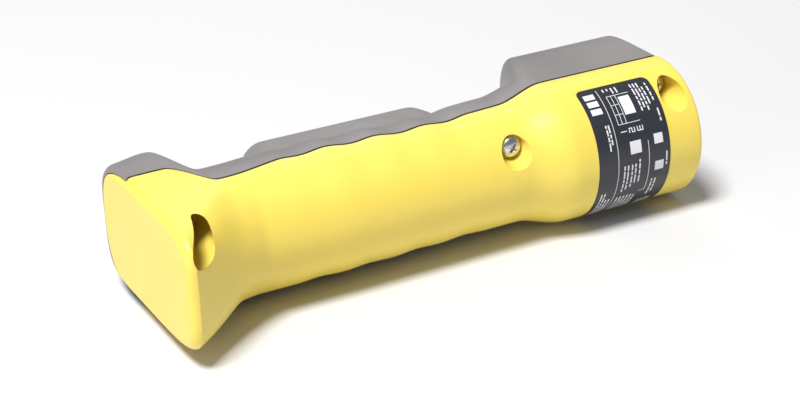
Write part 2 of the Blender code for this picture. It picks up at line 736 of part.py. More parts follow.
def make_front_cover():
    """Front half of the housing: lip, finger rest, button window with its skirt, and hump."""
    material = make_material("grey_shell", (0.33, 0.32, 0.33), 0.50)
    rings = [front_outline(distance, HUMP_END_ROUND) for distance in cover_stations(HUMP_END_ROUND)]
    cover = add_object("front_cover", skin(rings), material)
    plate = add_object("plate_clearance", skin(plate_rings(PLATE_THICKNESS + SEAT_GAP, SEAT_GAP)))
    cut(cover, plate)
    rings = [front_ring(distance, SHELL_WALL, CAVITY_SEGMENTS, OVERRUN)
             for distance in cavity_stations(HEAD_EDGE_ROUND / 2, GRIP_LENGTH - END_WALL)]
    cavity = add_object("front_cavity", skin(rings))
    half_length = BUTTON_LENGTH / 2 + BUTTON_CLEARANCE
    half_breadth = BUTTON_HALF_WIDTH + BUTTON_CLEARANCE
    corner = BUTTON_CORNER + BUTTON_CLEARANCE
    skirt = [rounded_ring(BUTTON_MIDDLE, half_length + SKIRT_WALL, half_breadth + SKIRT_WALL,
                          corner + SKIRT_WALL, depth) for depth in (BOOT_FOOT, HUMP_FRONT)]
    cut(cavity, add_object("window_skirt", skin(skirt)))
    bosses = bmesh.new()
    inserts = bmesh.new()
    for distance, side, seat in screw_places():
        foot = parting_depth(distance) - 2 * OVERRUN
        top = insert_foot(distance) + SCREW_BITE
        radius = boss_radius(distance)
        profile = ((0.0, foot), (radius, foot), (radius, LIP_FRONT), (0.0, LIP_FRONT))
        turned(profile, distance, side, ROUND_SEGMENTS, bosses)
        hole = INSERT_RADIUS + SEAT_GAP
        profile = ((0.0, foot), (hole, foot), (hole, top), (0.0, top))
        turned(profile, distance, side, SMALL_SEGMENTS, inserts)
    cut(cavity, add_object("front_bosses", bosses))
    cut(cavity, entry_bore("front_entry_boss", ENTRY_BOSS_RADIUS, GRIP_LENGTH - ENTRY_BOSS_LENGTH))
    cut(cover, cavity)
    cut(cover, make_tongues(), "UNION")
    cut(cover, entry_bore("front_entry_hole", ENTRY_RADIUS, GRIP_LENGTH - ENTRY_BOSS_LENGTH - OVERRUN))
    cut(cover, add_object("insert_holes", inserts))
    window = [rounded_ring(BUTTON_MIDDLE, half_length, half_breadth, corner, depth)
              for depth in (0.0, HUMP_FRONT + OVERRUN)]
    cut(cover, add_object("window_cutter", skin(window)))
    return cover


def make_cover_seals():
    """Thin rubber strips in the rebates between the covers."""
    material = make_material("seal_rubber", (0.03, 0.03, 0.03), 0.7)
    for name, sign in SEAL_SIDES:
        add_object(name, skin(seal_rings(sign, 0.0)), material)


def button_rings(inset, foot, front, corner):
    """Sections of the button from its foot to its crowned top."""
    half_length = BUTTON_LENGTH / 2 - inset
    half_breadth = BUTTON_HALF_WIDTH - inset
    rings = [rounded_ring(BUTTON_MIDDLE, half_length, half_breadth, corner, depth)
             for depth in (foot, BOOT_SHOULDER_FRONT - inset)]
    for index in range(CORNER_SEGMENTS + 1):
        angle = math.pi / 2 * index / CORNER_SEGMENTS
        lean = BOOT_END_SLOPE * (BOOT_END_LEAN_SHARE + (1 - BOOT_END_LEAN_SHARE) * math.sin(angle))
        rounding = BOOT_EDGE_ROUND * (1 - math.cos(angle))
        depth = front - BOOT_EDGE_ROUND * (1 - math.sin(angle))
        rings.append(rounded_ring(BUTTON_MIDDLE, half_length - lean - rounding / 2, half_breadth - rounding,
                                  corner, depth))
    return rings


def make_button(slide):
    """Rubber boot over the stiff button core, which slides in the window."""
    rubber = make_material("boot_rubber", (0.17, 0.165, 0.17), 0.6)
    inner = button_rings(BOOT_WALL, BOOT_FOOT, BUTTON_FRONT - BOOT_WALL, BUTTON_CORNER - BOOT_WALL)
    outer = button_rings(0.0, BOOT_FOOT, BUTTON_FRONT, BUTTON_CORNER)
    add_object("button_boot", skin(list(reversed(inner)) + outer), rubber, slide.location.copy(), slide)
    plastic = make_material("core_plastic", (0.05, 0.05, 0.055), 0.5)
    inset = BOOT_WALL + SEAT_GAP
    rings = button_rings(inset, CORE_FOOT, BUTTON_FRONT - inset, BUTTON_CORNER - inset)
    core = add_object("button_core", skin(rings), plastic, slide.location.copy(), slide)
    pockets = bmesh.new()
    plunger_web = PLUNGER_RADIUS * PLUNGER_WEB_SHARE
    outer_end = SPRING_PLACE - SPRING_RADIUS * SPRING_WEB_SHARE
    gaps = ((-outer_end, -BLOCK_PITCH / 2 - plunger_web),
            (plunger_web - BLOCK_PITCH / 2, BLOCK_PITCH / 2 - plunger_web),
            (BLOCK_PITCH / 2 + plunger_web, outer_end))
    for low, high in gaps:
        block((BUTTON_MIDDLE + low, BUTTON_MIDDLE + high),
              (CORE_FOOT - OVERRUN, BUTTON_FRONT - inset - CORE_ROOF),
              (-POCKET_HALF_WIDTH, POCKET_HALF_WIDTH), pockets)
    cut(core, add_object("core_pockets", pockets))
    reach = BUTTON_LENGTH / 2 - inset + CORE_TAB_REACH
    tab = block((BUTTON_MIDDLE - reach, BUTTON_MIDDLE + reach), (CORE_FOOT, BOOT_FOOT - SEAT_GAP),
                (-CORE_TAB_HALF_WIDTH, CORE_TAB_HALF_WIDTH))
    tabs = add_object("core_tabs", tab)
    bar = block((BUTTON_MIDDLE - outer_end, BUTTON_MIDDLE + outer_end), (CORE_FOOT - OVERRUN, BOOT_FOOT),
                (-POCKET_HALF_WIDTH, POCKET_HALF_WIDTH))
    cut(tabs, add_object("tab_gap", bar))
    cut(core, tabs, "UNION")


def make_switch_blocks(slide):
    """Two contact blocks with the plungers that the button drives."""
    housing = make_material("block_plastic", (0.06, 0.06, 0.065), 0.45)
    rod = make_material("plunger_plastic", (0.75, 0.74, 0.70), 0.4)
    for number, offset in enumerate((-BLOCK_PITCH / 2, BLOCK_PITCH / 2), start=1):
        middle = BUTTON_MIDDLE + offset
        shell = add_object(f"switch_block_{number}", block(
            (middle - BLOCK_LENGTH / 2, middle + BLOCK_LENGTH / 2), (BLOCK_BACK, BLOCK_FRONT),
            (-BLOCK_HALF_WIDTH, BLOCK_HALF_WIDTH)), housing)
        hole = PLUNGER_RADIUS + SEAT_GAP
        floor = CORE_FOOT - SEAT_GAP - PLUNGER_LENGTH - BUTTON_TRAVEL - SEAT_GAP
        profile = ((0.0, floor), (hole, floor), (hole, BLOCK_FRONT + OVERRUN), (0.0, BLOCK_FRONT + OVERRUN))
        cut(shell, add_object(f"plunger_bore_{number}", turned(profile, middle, 0.0)))
        top = CORE_FOOT - SEAT_GAP
        foot = top - PLUNGER_LENGTH
        profile = ((0.0, foot), (PLUNGER_RADIUS, foot), (PLUNGER_RADIUS, top), (0.0, top))
        plunger = turned(profile, middle, 0.0)
        add_object(f"switch_plunger_{number}", plunger, rod, slide.location.copy(), slide)


def make_tray():
    """Tray under the contact blocks, with the pegs of the return springs."""
    material = make_material("tray_plastic", (0.55, 0.55, 0.52), 0.5)
    plate = block((BUTTON_MIDDLE - TRAY_LENGTH / 2, BUTTON_MIDDLE + TRAY_LENGTH / 2), (TRAY_BACK, TRAY_FRONT),
                  (-TRAY_HALF_WIDTH, TRAY_HALF_WIDTH))
    tray = add_object("switch_tray", plate, material)
    pegs = bmesh.new()
    holes = bmesh.new()
    for sign in (-1, 1):
        top = TRAY_FRONT + SPRING_PEG_LENGTH
        base = TRAY_BACK + TRAY_THICKNESS / 2
        profile = ((0.0, base), (SPRING_PEG_RADIUS, base), (SPRING_PEG_RADIUS, top), (0.0, top))
        turned(profile, BUTTON_MIDDLE + sign * SPRING_PLACE, 0.0, SMALL_SEGMENTS, pegs)
        hole = TRAY_SCREW_RADIUS + SEAT_GAP
        profile = ((0.0, TRAY_BACK - OVERRUN), (hole, TRAY_BACK - OVERRUN), (hole, TRAY_FRONT + OVERRUN),
                   (0.0, TRAY_FRONT + OVERRUN))
        turned(profile, BUTTON_MIDDLE + sign * TRAY_SCREW_PLACE, 0.0, SMALL_SEGMENTS, holes)
    cut(tray, add_object("spring_pegs", pegs), "UNION")
    cut(tray, add_object("tray_holes", holes))


def make_springs():
    """Two coil springs that push the button back out."""
    material = make_material("spring_steel", (0.6, 0.6, 0.62), 0.25, 1.0)
    start = TRAY_FRONT + SEAT_GAP + SPRING_WIRE_RADIUS
    end = CORE_FOOT - SEAT_GAP - SPRING_WIRE_RADIUS
    count = SPRING_TURNS * SPRING_STEPS
    for number, sign in enumerate((-1, 1), start=1):
        middle = BUTTON_MIDDLE + sign * SPRING_PLACE
        rings = []
        for step in range(count + 1):
            share = step / count
            turn = math.tau * SPRING_TURNS * share
            depth = start + (end - start) * share
            ring = []
            for index in range(SPRING_SIDES):
                angle = math.tau * index / SPRING_SIDES
                radius = SPRING_RADIUS + SPRING_WIRE_RADIUS * math.cos(angle)
                height = depth + SPRING_WIRE_RADIUS * math.sin(angle)
                ring.append(place(middle + radius * math.cos(turn), height, radius * math.sin(turn)))
            rings.append(ring)
        add_object(f"return_spring_{number}", skin(rings), material)


def make_fasteners():
    """Pan-head housing screws, driven from the back into brass inserts."""
    steel = make_material("screw_steel", (0.70, 0.70, 0.68), 0.3, 1.0)
    brass = make_material("insert_brass", (0.75, 0.58, 0.28), 0.35, 1.0)
    for number, (distance, side, seat) in enumerate(screw_places(), start=1):
        foot = insert_foot(distance)
        head = seat - SEAT_GAP
        tip = foot + INSERT_LENGTH - SEAT_GAP
        crown = head - SCREW_HEAD_HEIGHT
        profile = ((0.0, crown), (SCREW_HEAD_RADIUS * SCREW_CROWN_SHARE, crown),
                   (SCREW_HEAD_RADIUS * SCREW_SHOULDER_SHARE, head - SCREW_HEAD_HEIGHT * SCREW_CROWN_SHARE),
                   (SCREW_HEAD_RADIUS, head - SCREW_HEAD_HEIGHT * SCREW_RIM_SHARE), (SCREW_HEAD_RADIUS, head),
                   (SCREW_RADIUS, head), (SCREW_RADIUS, tip), (0.0, tip))
        add_object(f"housing_screw_{number}", turned(profile, distance, side), steel)
        bore = SCREW_RADIUS + SEAT_GAP
        insert = tube(INSERT_RADIUS, bore, foot, foot + INSERT_LENGTH, distance, side)
        add_object(f"thread_insert_{number}", insert, brass)


def make_label():
    """Thin rating plate, wrapped round the back of the cable end."""
    material = make_material("label_film", (0.03, 0.033, 0.045), 0.35)
    end = GRIP_LENGTH - LABEL_END_DISTANCE
    outer = END_RADIUS + LABEL_PROUD
    label = label_ring((outer - LABEL_THICKNESS, outer), end - LABEL_LENGTH, end, LABEL_SPREAD)
    add_object("rating_label", label, material)


def make_tray_screws():
    """Screws that hold the tray down on the pads of the back cover."""
    steel = make_material("tray_screw_steel", (0.70, 0.70, 0.68), 0.3, 1.0)
    seat = TRAY_FRONT + SEAT_GAP
    top = seat + TRAY_SCREW_HEAD_HEIGHT
    tip = TRAY_BACK - SEAT_GAP - TRAY_SCREW_BITE
    for number, offset in enumerate((-TRAY_SCREW_PLACE, TRAY_SCREW_PLACE), start=1):
        profile = ((0.0, tip), (TRAY_SCREW_RADIUS, tip), (TRAY_SCREW_RADIUS, seat),
                   (TRAY_SCREW_HEAD_RADIUS, seat), (TRAY_SCREW_HEAD_RADIUS, top), (0.0, top))
        add_object(f"tray_screw_{number}", turned(profile, BUTTON_MIDDLE + offset, 0.0), steel)


def make_terminals():
    """Terminal strip in the wiring space, with a row of clamp screws."""
    housing = make_material("terminal_plastic", (0.08, 0.22, 0.12), 0.5)
    steel = make_material("terminal_steel", (0.7, 0.7, 0.68), 0.3, 1.0)
    top = TERMINAL_BACK + TERMINAL_HEIGHT
    strip = add_object("terminal_strip", block(
        (TERMINAL_START, TERMINAL_START + TERMINAL_LENGTH), (TERMINAL_BACK, top),
        (-TERMINAL_HALF_WIDTH, TERMINAL_HALF_WIDTH)), housing)
    bores = bmesh.new()
    hole = TERMINAL_SCREW_RADIUS + SEAT_GAP
    low = top - TERMINAL_SCREW_DEPTH
    for index in range(TERMINAL_SCREW_COUNT):
        middle = TERMINAL_START + TERMINAL_LENGTH / 2
        side = (index - (TERMINAL_SCREW_COUNT - 1) / 2) * TERMINAL_SCREW_PITCH
        profile = ((0.0, low - SEAT_GAP), (hole, low - SEAT_GAP), (hole, top + OVERRUN), (0.0, top + OVERRUN))
        turned(profile, middle, side, SMALL_SEGMENTS, bores)
        high = top + TERMINAL_SCREW_PROUD
        profile = ((0.0, low), (TERMINAL_SCREW_RADIUS, low), (TERMINAL_SCREW_RADIUS, high), (0.0, high))
        add_object(f"terminal_screw_{index + 1}", turned(profile, middle, side), steel)
    cut(strip, add_object("terminal_bores", bores))


def main():
    for item in list(bpy.data.objects):
        bpy.data.objects.remove(item, do_unlink=True)
    slide = bpy.data.objects.new("button_slide", None)
    slide.location = place(BUTTON_MIDDLE, BOOT_FOOT, 0.0)
    bpy.context.scene.collection.objects.link(slide)
    make_rear_cover()
    make_front_cover()
    make_button(slide)
    make_switch_blocks(slide)
    make_tray()
    make_springs()
    make_fasteners()
    make_tray_screws()
    make_cover_seals()
    make_label()
    make_terminals()


main()
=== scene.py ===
"""Looks of the hand-held enabling grip switch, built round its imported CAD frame.

Metres, +Z up. The grip lies on its side with its head at -X, its button towards +Y and its
yellow back towards -Y. Distances run along the grip from the flat head end, and depths and side
offsets are measured from the axis of the round cable end.
"""
import math

import bmesh
import bpy
from mathutils import Matrix, Vector


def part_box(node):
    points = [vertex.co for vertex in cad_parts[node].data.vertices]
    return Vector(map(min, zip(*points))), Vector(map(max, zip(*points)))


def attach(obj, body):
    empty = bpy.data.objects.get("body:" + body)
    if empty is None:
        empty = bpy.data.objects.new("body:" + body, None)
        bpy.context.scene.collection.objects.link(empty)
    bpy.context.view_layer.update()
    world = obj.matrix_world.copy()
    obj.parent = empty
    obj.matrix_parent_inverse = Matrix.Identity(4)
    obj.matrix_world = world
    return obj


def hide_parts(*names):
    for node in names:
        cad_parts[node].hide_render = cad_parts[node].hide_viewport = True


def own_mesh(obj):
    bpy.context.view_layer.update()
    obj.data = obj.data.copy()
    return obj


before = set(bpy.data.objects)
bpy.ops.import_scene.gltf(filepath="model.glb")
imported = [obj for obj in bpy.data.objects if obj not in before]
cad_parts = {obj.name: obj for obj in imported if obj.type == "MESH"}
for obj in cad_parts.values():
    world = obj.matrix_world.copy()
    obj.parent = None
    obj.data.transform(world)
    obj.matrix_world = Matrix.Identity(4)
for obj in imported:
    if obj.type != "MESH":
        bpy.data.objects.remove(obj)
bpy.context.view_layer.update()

# Overall sizes
GRIP_LENGTH = 0.170
END_RADIUS = 0.0212
BODY_RADIUS = 0.0189
WAIST_RADIUS = 0.0178
HEAD_BACK = 0.0355
HEAD_HALF_WIDTH = 0.0180
HUMP_FRONT = 0.0335
SHELL_WALL = 0.0026
END_WALL = 0.0032
SEAT_GAP = 0.0003
PARTING_GAP = 0.0010
OVERRUN = 0.0040

# Head, lip and finger rest
FLARE_LENGTH = 0.0300
FLARE_POWER = 1.3
HEAD_EDGE_ROUND = 0.0024
LIP_EDGE_INSET_SHARE = 0.35
PLATE_THICKNESS = 0.0026
PLATE_INSET = 0.0011
PLATE_CORNER_INSET = 0.0008
PLATE_POWER_SHARE = 2 / 3
LIP_EDGE_FRONT = 0.0295
LIP_FRONT = 0.0335
LIP_RISE_LENGTH = 0.0135
LIP_DROP_START = 0.0140
LIP_DROP_LENGTH = 0.0060
FINGER_FRONT = 0.0181
HEAD_OUTLINE_FRONT = 0.0300
END_OUTLINE_FRONT = 0.0420
HEAD_POWER_LENGTH_SHARE = 0.8

# Squareness of the sections: 2 is an ellipse, more is boxier
ROUND_POWER = 2.0
HEAD_POWER_GAIN = 3.2
FRONT_POWER = 2.6
LIP_POWER_GAIN = 1.6
HUMP_POWER_GAIN = 3.4

# Waist, shoulder and hump
TAPER_START = 0.0500
TAPER_LENGTH = 0.0600
SHOULDER_START = 0.1130
SHOULDER_LENGTH = 0.0150
CREST_START = 0.0850
CREST_LENGTH = 0.0270
CREST_FRONT = 0.0215
HUMP_START = 0.1230
HUMP_LENGTH = 0.0110
RIM_ROUND = 0.0012
HUMP_END_ROUND = 0.0020

# Parting line between the two covers
LIP_PARTING = 0.0105
NOTCH_PARTING = 0.0090
NOTCH_LENGTH = 0.0030
LIP_PARTING_LENGTH = 0.0125
LIP_PARTING_DROP = 0.0095
FINGER_PARTING = -0.0046
MIDDLE_PARTING = -0.0012
MIDDLE_PARTING_START = 0.0240
MIDDLE_PARTING_LENGTH = 0.0260
SHOULDER_PARTING = 0.0024
SHOULDER_PARTING_START = 0.0800
SHOULDER_PARTING_LENGTH = 0.0520

# Finger ripples
RIPPLE_START = 0.0405
RIPPLE_PITCH = 0.0155
RIPPLE_COUNT = 4
RIPPLE_DEPTH = 0.0005

# Button and its window
BUTTON_START = 0.0385
BUTTON_LENGTH = 0.0642
BUTTON_WIDTH_SHARE = 0.73
BUTTON_HALF_WIDTH = BODY_RADIUS * BUTTON_WIDTH_SHARE
BUTTON_FRONT = 0.0262
BUTTON_CORNER = 0.0070
BUTTON_CLEARANCE = 0.0004
BOOT_WALL = 0.0018
BOOT_FOOT = 0.0080
BOOT_EDGE_ROUND = 0.0035
BOOT_END_SLOPE = 0.0026
BOOT_END_LEAN_SHARE = 0.5
BOOT_SHOULDER_FRONT = 0.0190
SKIRT_WALL = 0.0016

# Housing screws. A list holds one value for each screw, from the head to the cable end.
HEAD_SCREW_DISTANCE = 0.0076
MIDDLE_SCREW_GAP = 0.0068
END_SCREW_DISTANCE = 0.0066
SCREW_SPREADS = (0.0125, 0.0100, 0.0156)
SCREW_SEATS = (-0.0130, -0.0105, -0.0040)
SCREW_HEAD_RADIUS = 0.0032
SCREW_HEAD_HEIGHT = 0.0022
SCREW_RADIUS = 0.0015
CROSS_HALF_LENGTH = 0.0019
CROSS_HALF_WIDTH = 0.00052
CROSS_DEPTH = 0.0013
CROSS_FOOT_SHARE = 0.35
CROSS_TURNS = (math.radians(24.0), math.radians(52.0), math.radians(12.0))
HEAD_CROWN_SHARE = 0.7
HEAD_CROWN_STEPS = 12
RECESS_RADIUS = 0.0036
RECESS_FLARES = (0.0014, 0.0018, 0.0012)
RECESS_WALL = 0.0018
SEAT_THICKNESS = 0.0024
BOSS_RADIUS = 0.0038
END_BOSS_RADIUS = 0.0046

# Scoop over the head's screw. An offset from the screw is along the grip, then to the side.
HEAD_RECESS_RADIUS = 0.0035
HEAD_MOUTH_RADIUS = 0.0045
HEAD_MOUTH_OFFSET = (-0.0016, -0.0009)
HEAD_POINT_RADIUS = 0.0005
HEAD_POINT_OFFSET = (0.0034, 0.0090)

# Return springs
SPRING_RADIUS = 0.0030
SPRING_WIRE_RADIUS = 0.00045
SPRING_TURNS = 5
SPRING_STEPS = 32
SPRING_SIDES = 10

# Cable entry and label
ENTRY_RADIUS = 0.0100
ENTRY_BACK = -0.0030
ENTRY_BOSS_RADIUS = 0.0125
ENTRY_BOSS_LENGTH = 0.0090
THREAD_PITCH = 0.0015
THREAD_DEPTH = 0.0009
THREAD_OVERLAP = 0.00005
LABEL_END_DISTANCE = 0.0118
LABEL_LENGTH = 0.0245
LABEL_THICKNESS = 0.0003
LABEL_SPREAD = math.radians(70.0)
LABEL_PROUD = 0.00005
LABEL_CORNER = 0.0020
PRINT_THICKNESS = 0.00004
PRINT_SUNK_SHARE = 0.25

# Print on the label. Places along the grip start at the label's end nearer the head, and places
# round the grip start at its top edge.
PRINT_STEP = 0.0008
RULE_WIDTH = 0.00018
BAR_WIDTH = 0.00046
BAR_GAP = 0.00042
BAR_LENGTHS = (0.0009, 0.0018, 0.0013, 0.0024, 0.0011, 0.0016, 0.0030)
BAR_SHIFT = 3
# Fields: reach along, reach round
PRINT_FIELDS = (
    ((0.0014, 0.0050), (0.0022, 0.0041)), ((0.0014, 0.0050), (0.0048, 0.0067)),
    ((0.0014, 0.0050), (0.0074, 0.0093)),
    ((0.0119, 0.0156), (0.0052, 0.0112)),
    ((0.0108, 0.0146), (0.0192, 0.0230)), ((0.0192, 0.0222), (0.0186, 0.0216)),
    ((0.0192, 0.0222), (0.0270, 0.0300)),
)
# Rules round the grip: place along, top, bottom
PRINT_RULES_AROUND = (
    (0.0064, 0.0012, 0.0430), (0.0170, 0.0200, 0.0368),
    (0.0084, 0.0042, 0.0136), (0.0098, 0.0042, 0.0136), (0.0112, 0.0042, 0.0136),
)
# Rules along the grip: start, end, place round
PRINT_RULES_ALONG = (
    (0.0084, 0.0160, 0.0042), (0.0084, 0.0114, 0.0074), (0.0084, 0.0114, 0.0106),
    (0.0084, 0.0160, 0.0136), (0.0150, 0.0172, 0.0368),
)
# Rows of bars: place along, top, bottom
PRINT_ROWS = (
    (0.0040, 0.0130, 0.0212), (0.0049, 0.0130, 0.0190),
    (0.0016, 0.0345, 0.0490), (0.0027, 0.0345, 0.0476), (0.0038, 0.0375, 0.0490), (0.0049, 0.0375, 0.0484),
    (0.0084, 0.0014, 0.0036), (0.0098, 0.0014, 0.0036), (0.0112, 0.0014, 0.0036), (0.0126, 0.0014, 0.0036),
    (0.0176, 0.0018, 0.0112), (0.0187, 0.0018, 0.0108), (0.0198, 0.0018, 0.0114), (0.0209, 0.0036, 0.0096),
    (0.0225, 0.0024, 0.0088), (0.0226, 0.0114, 0.0164), (0.0230, 0.0246, 0.0292),
    (0.0084, 0.0262, 0.0354), (0.0096, 0.0262, 0.0350), (0.0110, 0.0262, 0.0344), (0.0122, 0.0262, 0.0338),
    (0.0136, 0.0250, 0.0330),
    (0.0078, 0.0378, 0.0486), (0.0090, 0.0378, 0.0480), (0.0102, 0.0378, 0.0486), (0.0114, 0.0378, 0.0474),
    (0.0126, 0.0378, 0.0486), (0.0138, 0.0384, 0.0486),
    (0.0186, 0.0330, 0.0400), (0.0198, 0.0330, 0.0390), (0.0176, 0.0430, 0.0486), (0.0188, 0.0430, 0.0486),
    (0.0200, 0.0424, 0.0486), (0.0212, 0.0430, 0.0480),
)
DIGIT_WIDTH = 0.0012
DIGIT_HEIGHT = 0.0018
DIGIT_STROKE = 0.00028
DIGIT_TOP = 0.0152
DIGIT_PLACES = (0.0086, 0.0114, 0.0142)
# Straight strokes of the digits 1, 2 and 3: two ends, each across and up, as shares of a digit
DIGIT_STROKE_SHARES = (
    ((0.5, 0, 0.5, 1),),
    ((0, 0, 1, 0), (0, 0, 0, 0.5), (0, 0.5, 1, 0.5), (1, 0.5, 1, 1), (0, 1, 1, 1)),
    ((0, 0, 1, 0), (1, 0, 1, 1), (0, 0.5, 1, 0.5), (0, 1, 1, 1)),
)

# Near-black strip in the joint between the covers: painted shade of the gap
SHADE_STRIP_START = 0.0050
SHADE_STRIP_STEPS = 160
SHADE_STRIP_REACH = 0.0014
SHADE_STRIP_RECESS = 0.00008
SHADE_STRIP_GAP = 0.00005

# Fineness of the visible skins
BACK_SEGMENTS = 112
FRONT_SEGMENTS = 88
CAVITY_SEGMENTS = 32
CORNER_SEGMENTS = 12
ROUND_SEGMENTS = 48
THREAD_SEGMENTS = 72
THREAD_STEPS = 8
EDGE_ROUND_STEPS = 8
RIPPLE_STEPS = 16
COVER_RUN_STEPS = (14, 18, 22, RIPPLE_COUNT * RIPPLE_STEPS, 8, 32, 14)
CAVITY_RUN_STEPS = (5, 8, 24, 14, 6)
SMOOTH_ANGLE = math.radians(32.0)
PLANAR_ANGLE = math.radians(0.05)
WELD_DISTANCE = 0.000001

# Finishes: noise scales are per metre, bump heights in metres
NOISE_DETAIL = 3.0
TONE_POSITIONS = (0.3, 0.7)
PLASTIC_TONE_SCALE = 24.0
PLASTIC_SHEEN_SCALE = 160.0
PLASTIC_SHEEN_SPREAD = (-0.04, 0.05)
PLASTIC_FLOW_SCALE = 70.0
PLASTIC_FLOW_STRENGTH = 0.12
PLASTIC_FLOW_HEIGHT = 0.0002
PLASTIC_GRAIN_HEIGHT = 0.00005
YELLOW_DEPTH_WEIGHT = 0.12
YELLOW_DEPTH_RADII = (0.004, 0.0025, 0.0006)
YELLOW_DEPTH_SCALE = 0.6
RUBBER_TONE_SCALE = 60.0
RUBBER_SHEEN_SCALE = 220.0
RUBBER_SHEEN_SPREAD = (-0.05, 0.07)
RUBBER_GRAIN_STRENGTH = 0.25
RUBBER_GRAIN_HEIGHT = 0.00006
RUBBER_DUST_WEIGHT = 0.15
RUBBER_DUST_ROUGHNESS = 0.4
RUBBER_SPECULAR = 0.35
METAL_TONE_POSITIONS = (0.35, 0.65)
METAL_PATCH_SCALE = 900.0
METAL_SHEEN_SPREAD = (0.08, -0.04)
METAL_SCRATCH_SCALE = 2700.0
METAL_SCRATCH_STRENGTH = 0.2
METAL_SCRATCH_HEIGHT = 0.00003

# Studio: each light's name, place, diameter and power in watts
LIGHT_TARGET = (0.0, 0.0, 0.02)
LIGHTS = (
    ("key", (-0.68, -0.38, 1.80), 0.64, 50.0),
    ("side", (-0.85, -0.30, 0.22), 0.40, 1.3),
    ("back", (0.35, 0.75, 0.70), 0.60, 1.3),
)
SURROUND_COLOUR = (1.0, 1.0, 1.0, 1.0)
SURROUND_STRENGTH = 0.20
FLOOR_REACH = 6.0
FLOOR_DROP = 0.0002
FLOOR_COLOUR = (0.70, 0.70, 0.71)
FLOOR_TONE_SHARE = 0.985
FLOOR_TONE_SCALE = 3.0
FLOOR_ROUGHNESS = 0.9

# Camera, in the photograph's frame
IMAGE_WIDTH = 800
FOCAL_PIXELS = 2029
SENSOR_WIDTH = 36.0
CLIP_START = 0.01
CAMERA_PLACE = Vector((-0.2444, -0.47405, 0.2604))
CAMERA_RIGHT = Vector((0.8848, -0.4644, -0.0395))
CAMERA_BACK = Vector((-0.4081, -0.8128, 0.4157))

# Places worked out from the sizes above
AXIS_Y = (HEAD_BACK - HUMP_FRONT) / 2
AXIS_Z = END_RADIUS
LIP_END = LIP_DROP_START + LIP_DROP_LENGTH
RIPPLE_END = RIPPLE_START + RIPPLE_PITCH * RIPPLE_COUNT
HUMP_END = HUMP_START + HUMP_LENGTH
FRONT_CAVITY_START = HEAD_EDGE_ROUND / 2
ENTRY_BOSS_START = GRIP_LENGTH - ENTRY_BOSS_LENGTH
LABEL_END = GRIP_LENGTH - LABEL_END_DISTANCE
LABEL_START = LABEL_END - LABEL_LENGTH
BUTTON_MIDDLE = BUTTON_START + BUTTON_LENGTH / 2
BUTTON_END = BUTTON_START + BUTTON_LENGTH
SCREW_STATIONS = (HEAD_SCREW_DISTANCE, BUTTON_END + MIDDLE_SCREW_GAP, GRIP_LENGTH - END_SCREW_DISTANCE)


# Form of the grip

def place(distance, depth, side):
    """Point of the part from its distance from the head, its depth and its side offset."""
    return Vector((distance - GRIP_LENGTH / 2, depth + AXIS_Y, side + AXIS_Z))


def ease(share):
    """Smooth step from 0 to 1."""
    share = min(max(share, 0.0), 1.0)
    return share * share * (3 - 2 * share)


def ramp(distance, start, length):
    """Smooth step that begins at a distance and ends a length later."""
    return ease((distance - start) / length)


def round_inset(distance, radius):
    """How far a quarter-round edge lies inside the outline at a distance from its end."""
    if distance >= radius:
        return 0.0
    share = min(1 - distance / radius, 1.0)
    return radius * (1 - math.sqrt(1 - share * share))


def end_inset(distance, rim_round):
    """Inset of the outline at the rounded edges of both ends."""
    return round_inset(distance, HEAD_EDGE_ROUND) + round_inset(GRIP_LENGTH - distance, rim_round)


def ripple(distance):
    """Depth of the finger ripples at a distance from the head."""
    waves = (distance - RIPPLE_START) / RIPPLE_PITCH
    if waves < 0 or waves > RIPPLE_COUNT:
        return 0.0
    return RIPPLE_DEPTH * (1 - math.cos(math.tau * waves)) / 2


def body_size(distance):
    """Radius of the round body from the finger rest to the cable end."""
    taper = (WAIST_RADIUS - BODY_RADIUS) * ramp(distance, TAPER_START, TAPER_LENGTH)
    shoulder = (END_RADIUS - WAIST_RADIUS) * ramp(distance, SHOULDER_START, SHOULDER_LENGTH)
    return BODY_RADIUS + taper + shoulder


def half_width(distance):
    """Half the width of the grip."""
    narrowing = (BODY_RADIUS - HEAD_HALF_WIDTH) * (1 - ramp(distance, 0.0, FLARE_LENGTH))
    return body_size(distance) - narrowing - ripple(distance)


def back_depth(distance):
    """How far the back reaches from the axis, with the hooked flare at the head."""
    share = (distance - HEAD_EDGE_ROUND) / (FLARE_LENGTH - HEAD_EDGE_ROUND)
    share = min(max(share, 0.0), 1.0)
    return body_size(distance) + (HEAD_BACK - BODY_RADIUS) * (1 - share) ** FLARE_POWER


def front_depth(distance):
    """How far the front cover reaches from the axis: lip, finger rest, crest and hump."""
    lip = (LIP_FRONT - FINGER_FRONT) * (1 - ramp(distance, LIP_DROP_START, LIP_DROP_LENGTH))
    lip_edge = (LIP_FRONT - LIP_EDGE_FRONT) * (1 - ease(distance / LIP_RISE_LENGTH))
    crest = (CREST_FRONT - FINGER_FRONT) * ramp(distance, CREST_START, CREST_LENGTH)
    hump = (HUMP_FRONT - CREST_FRONT) * ramp(distance, HUMP_START, HUMP_LENGTH)
    return FINGER_FRONT + lip - lip_edge + crest + hump


def parting_depth(distance):
    """Depth of the parting line between the covers."""
    notch = (NOTCH_PARTING - LIP_PARTING) * (1 - ramp(distance, 0.0, NOTCH_LENGTH))
    drop = (FINGER_PARTING - LIP_PARTING) * ramp(distance, LIP_PARTING_LENGTH, LIP_PARTING_DROP)
    middle = (MIDDLE_PARTING - FINGER_PARTING) * ramp(distance, MIDDLE_PARTING_START, MIDDLE_PARTING_LENGTH)
    shoulder = (SHOULDER_PARTING - MIDDLE_PARTING) * ramp(
        distance, SHOULDER_PARTING_START, SHOULDER_PARTING_LENGTH)
    return LIP_PARTING + notch + drop + middle + shoulder - ripple(distance)


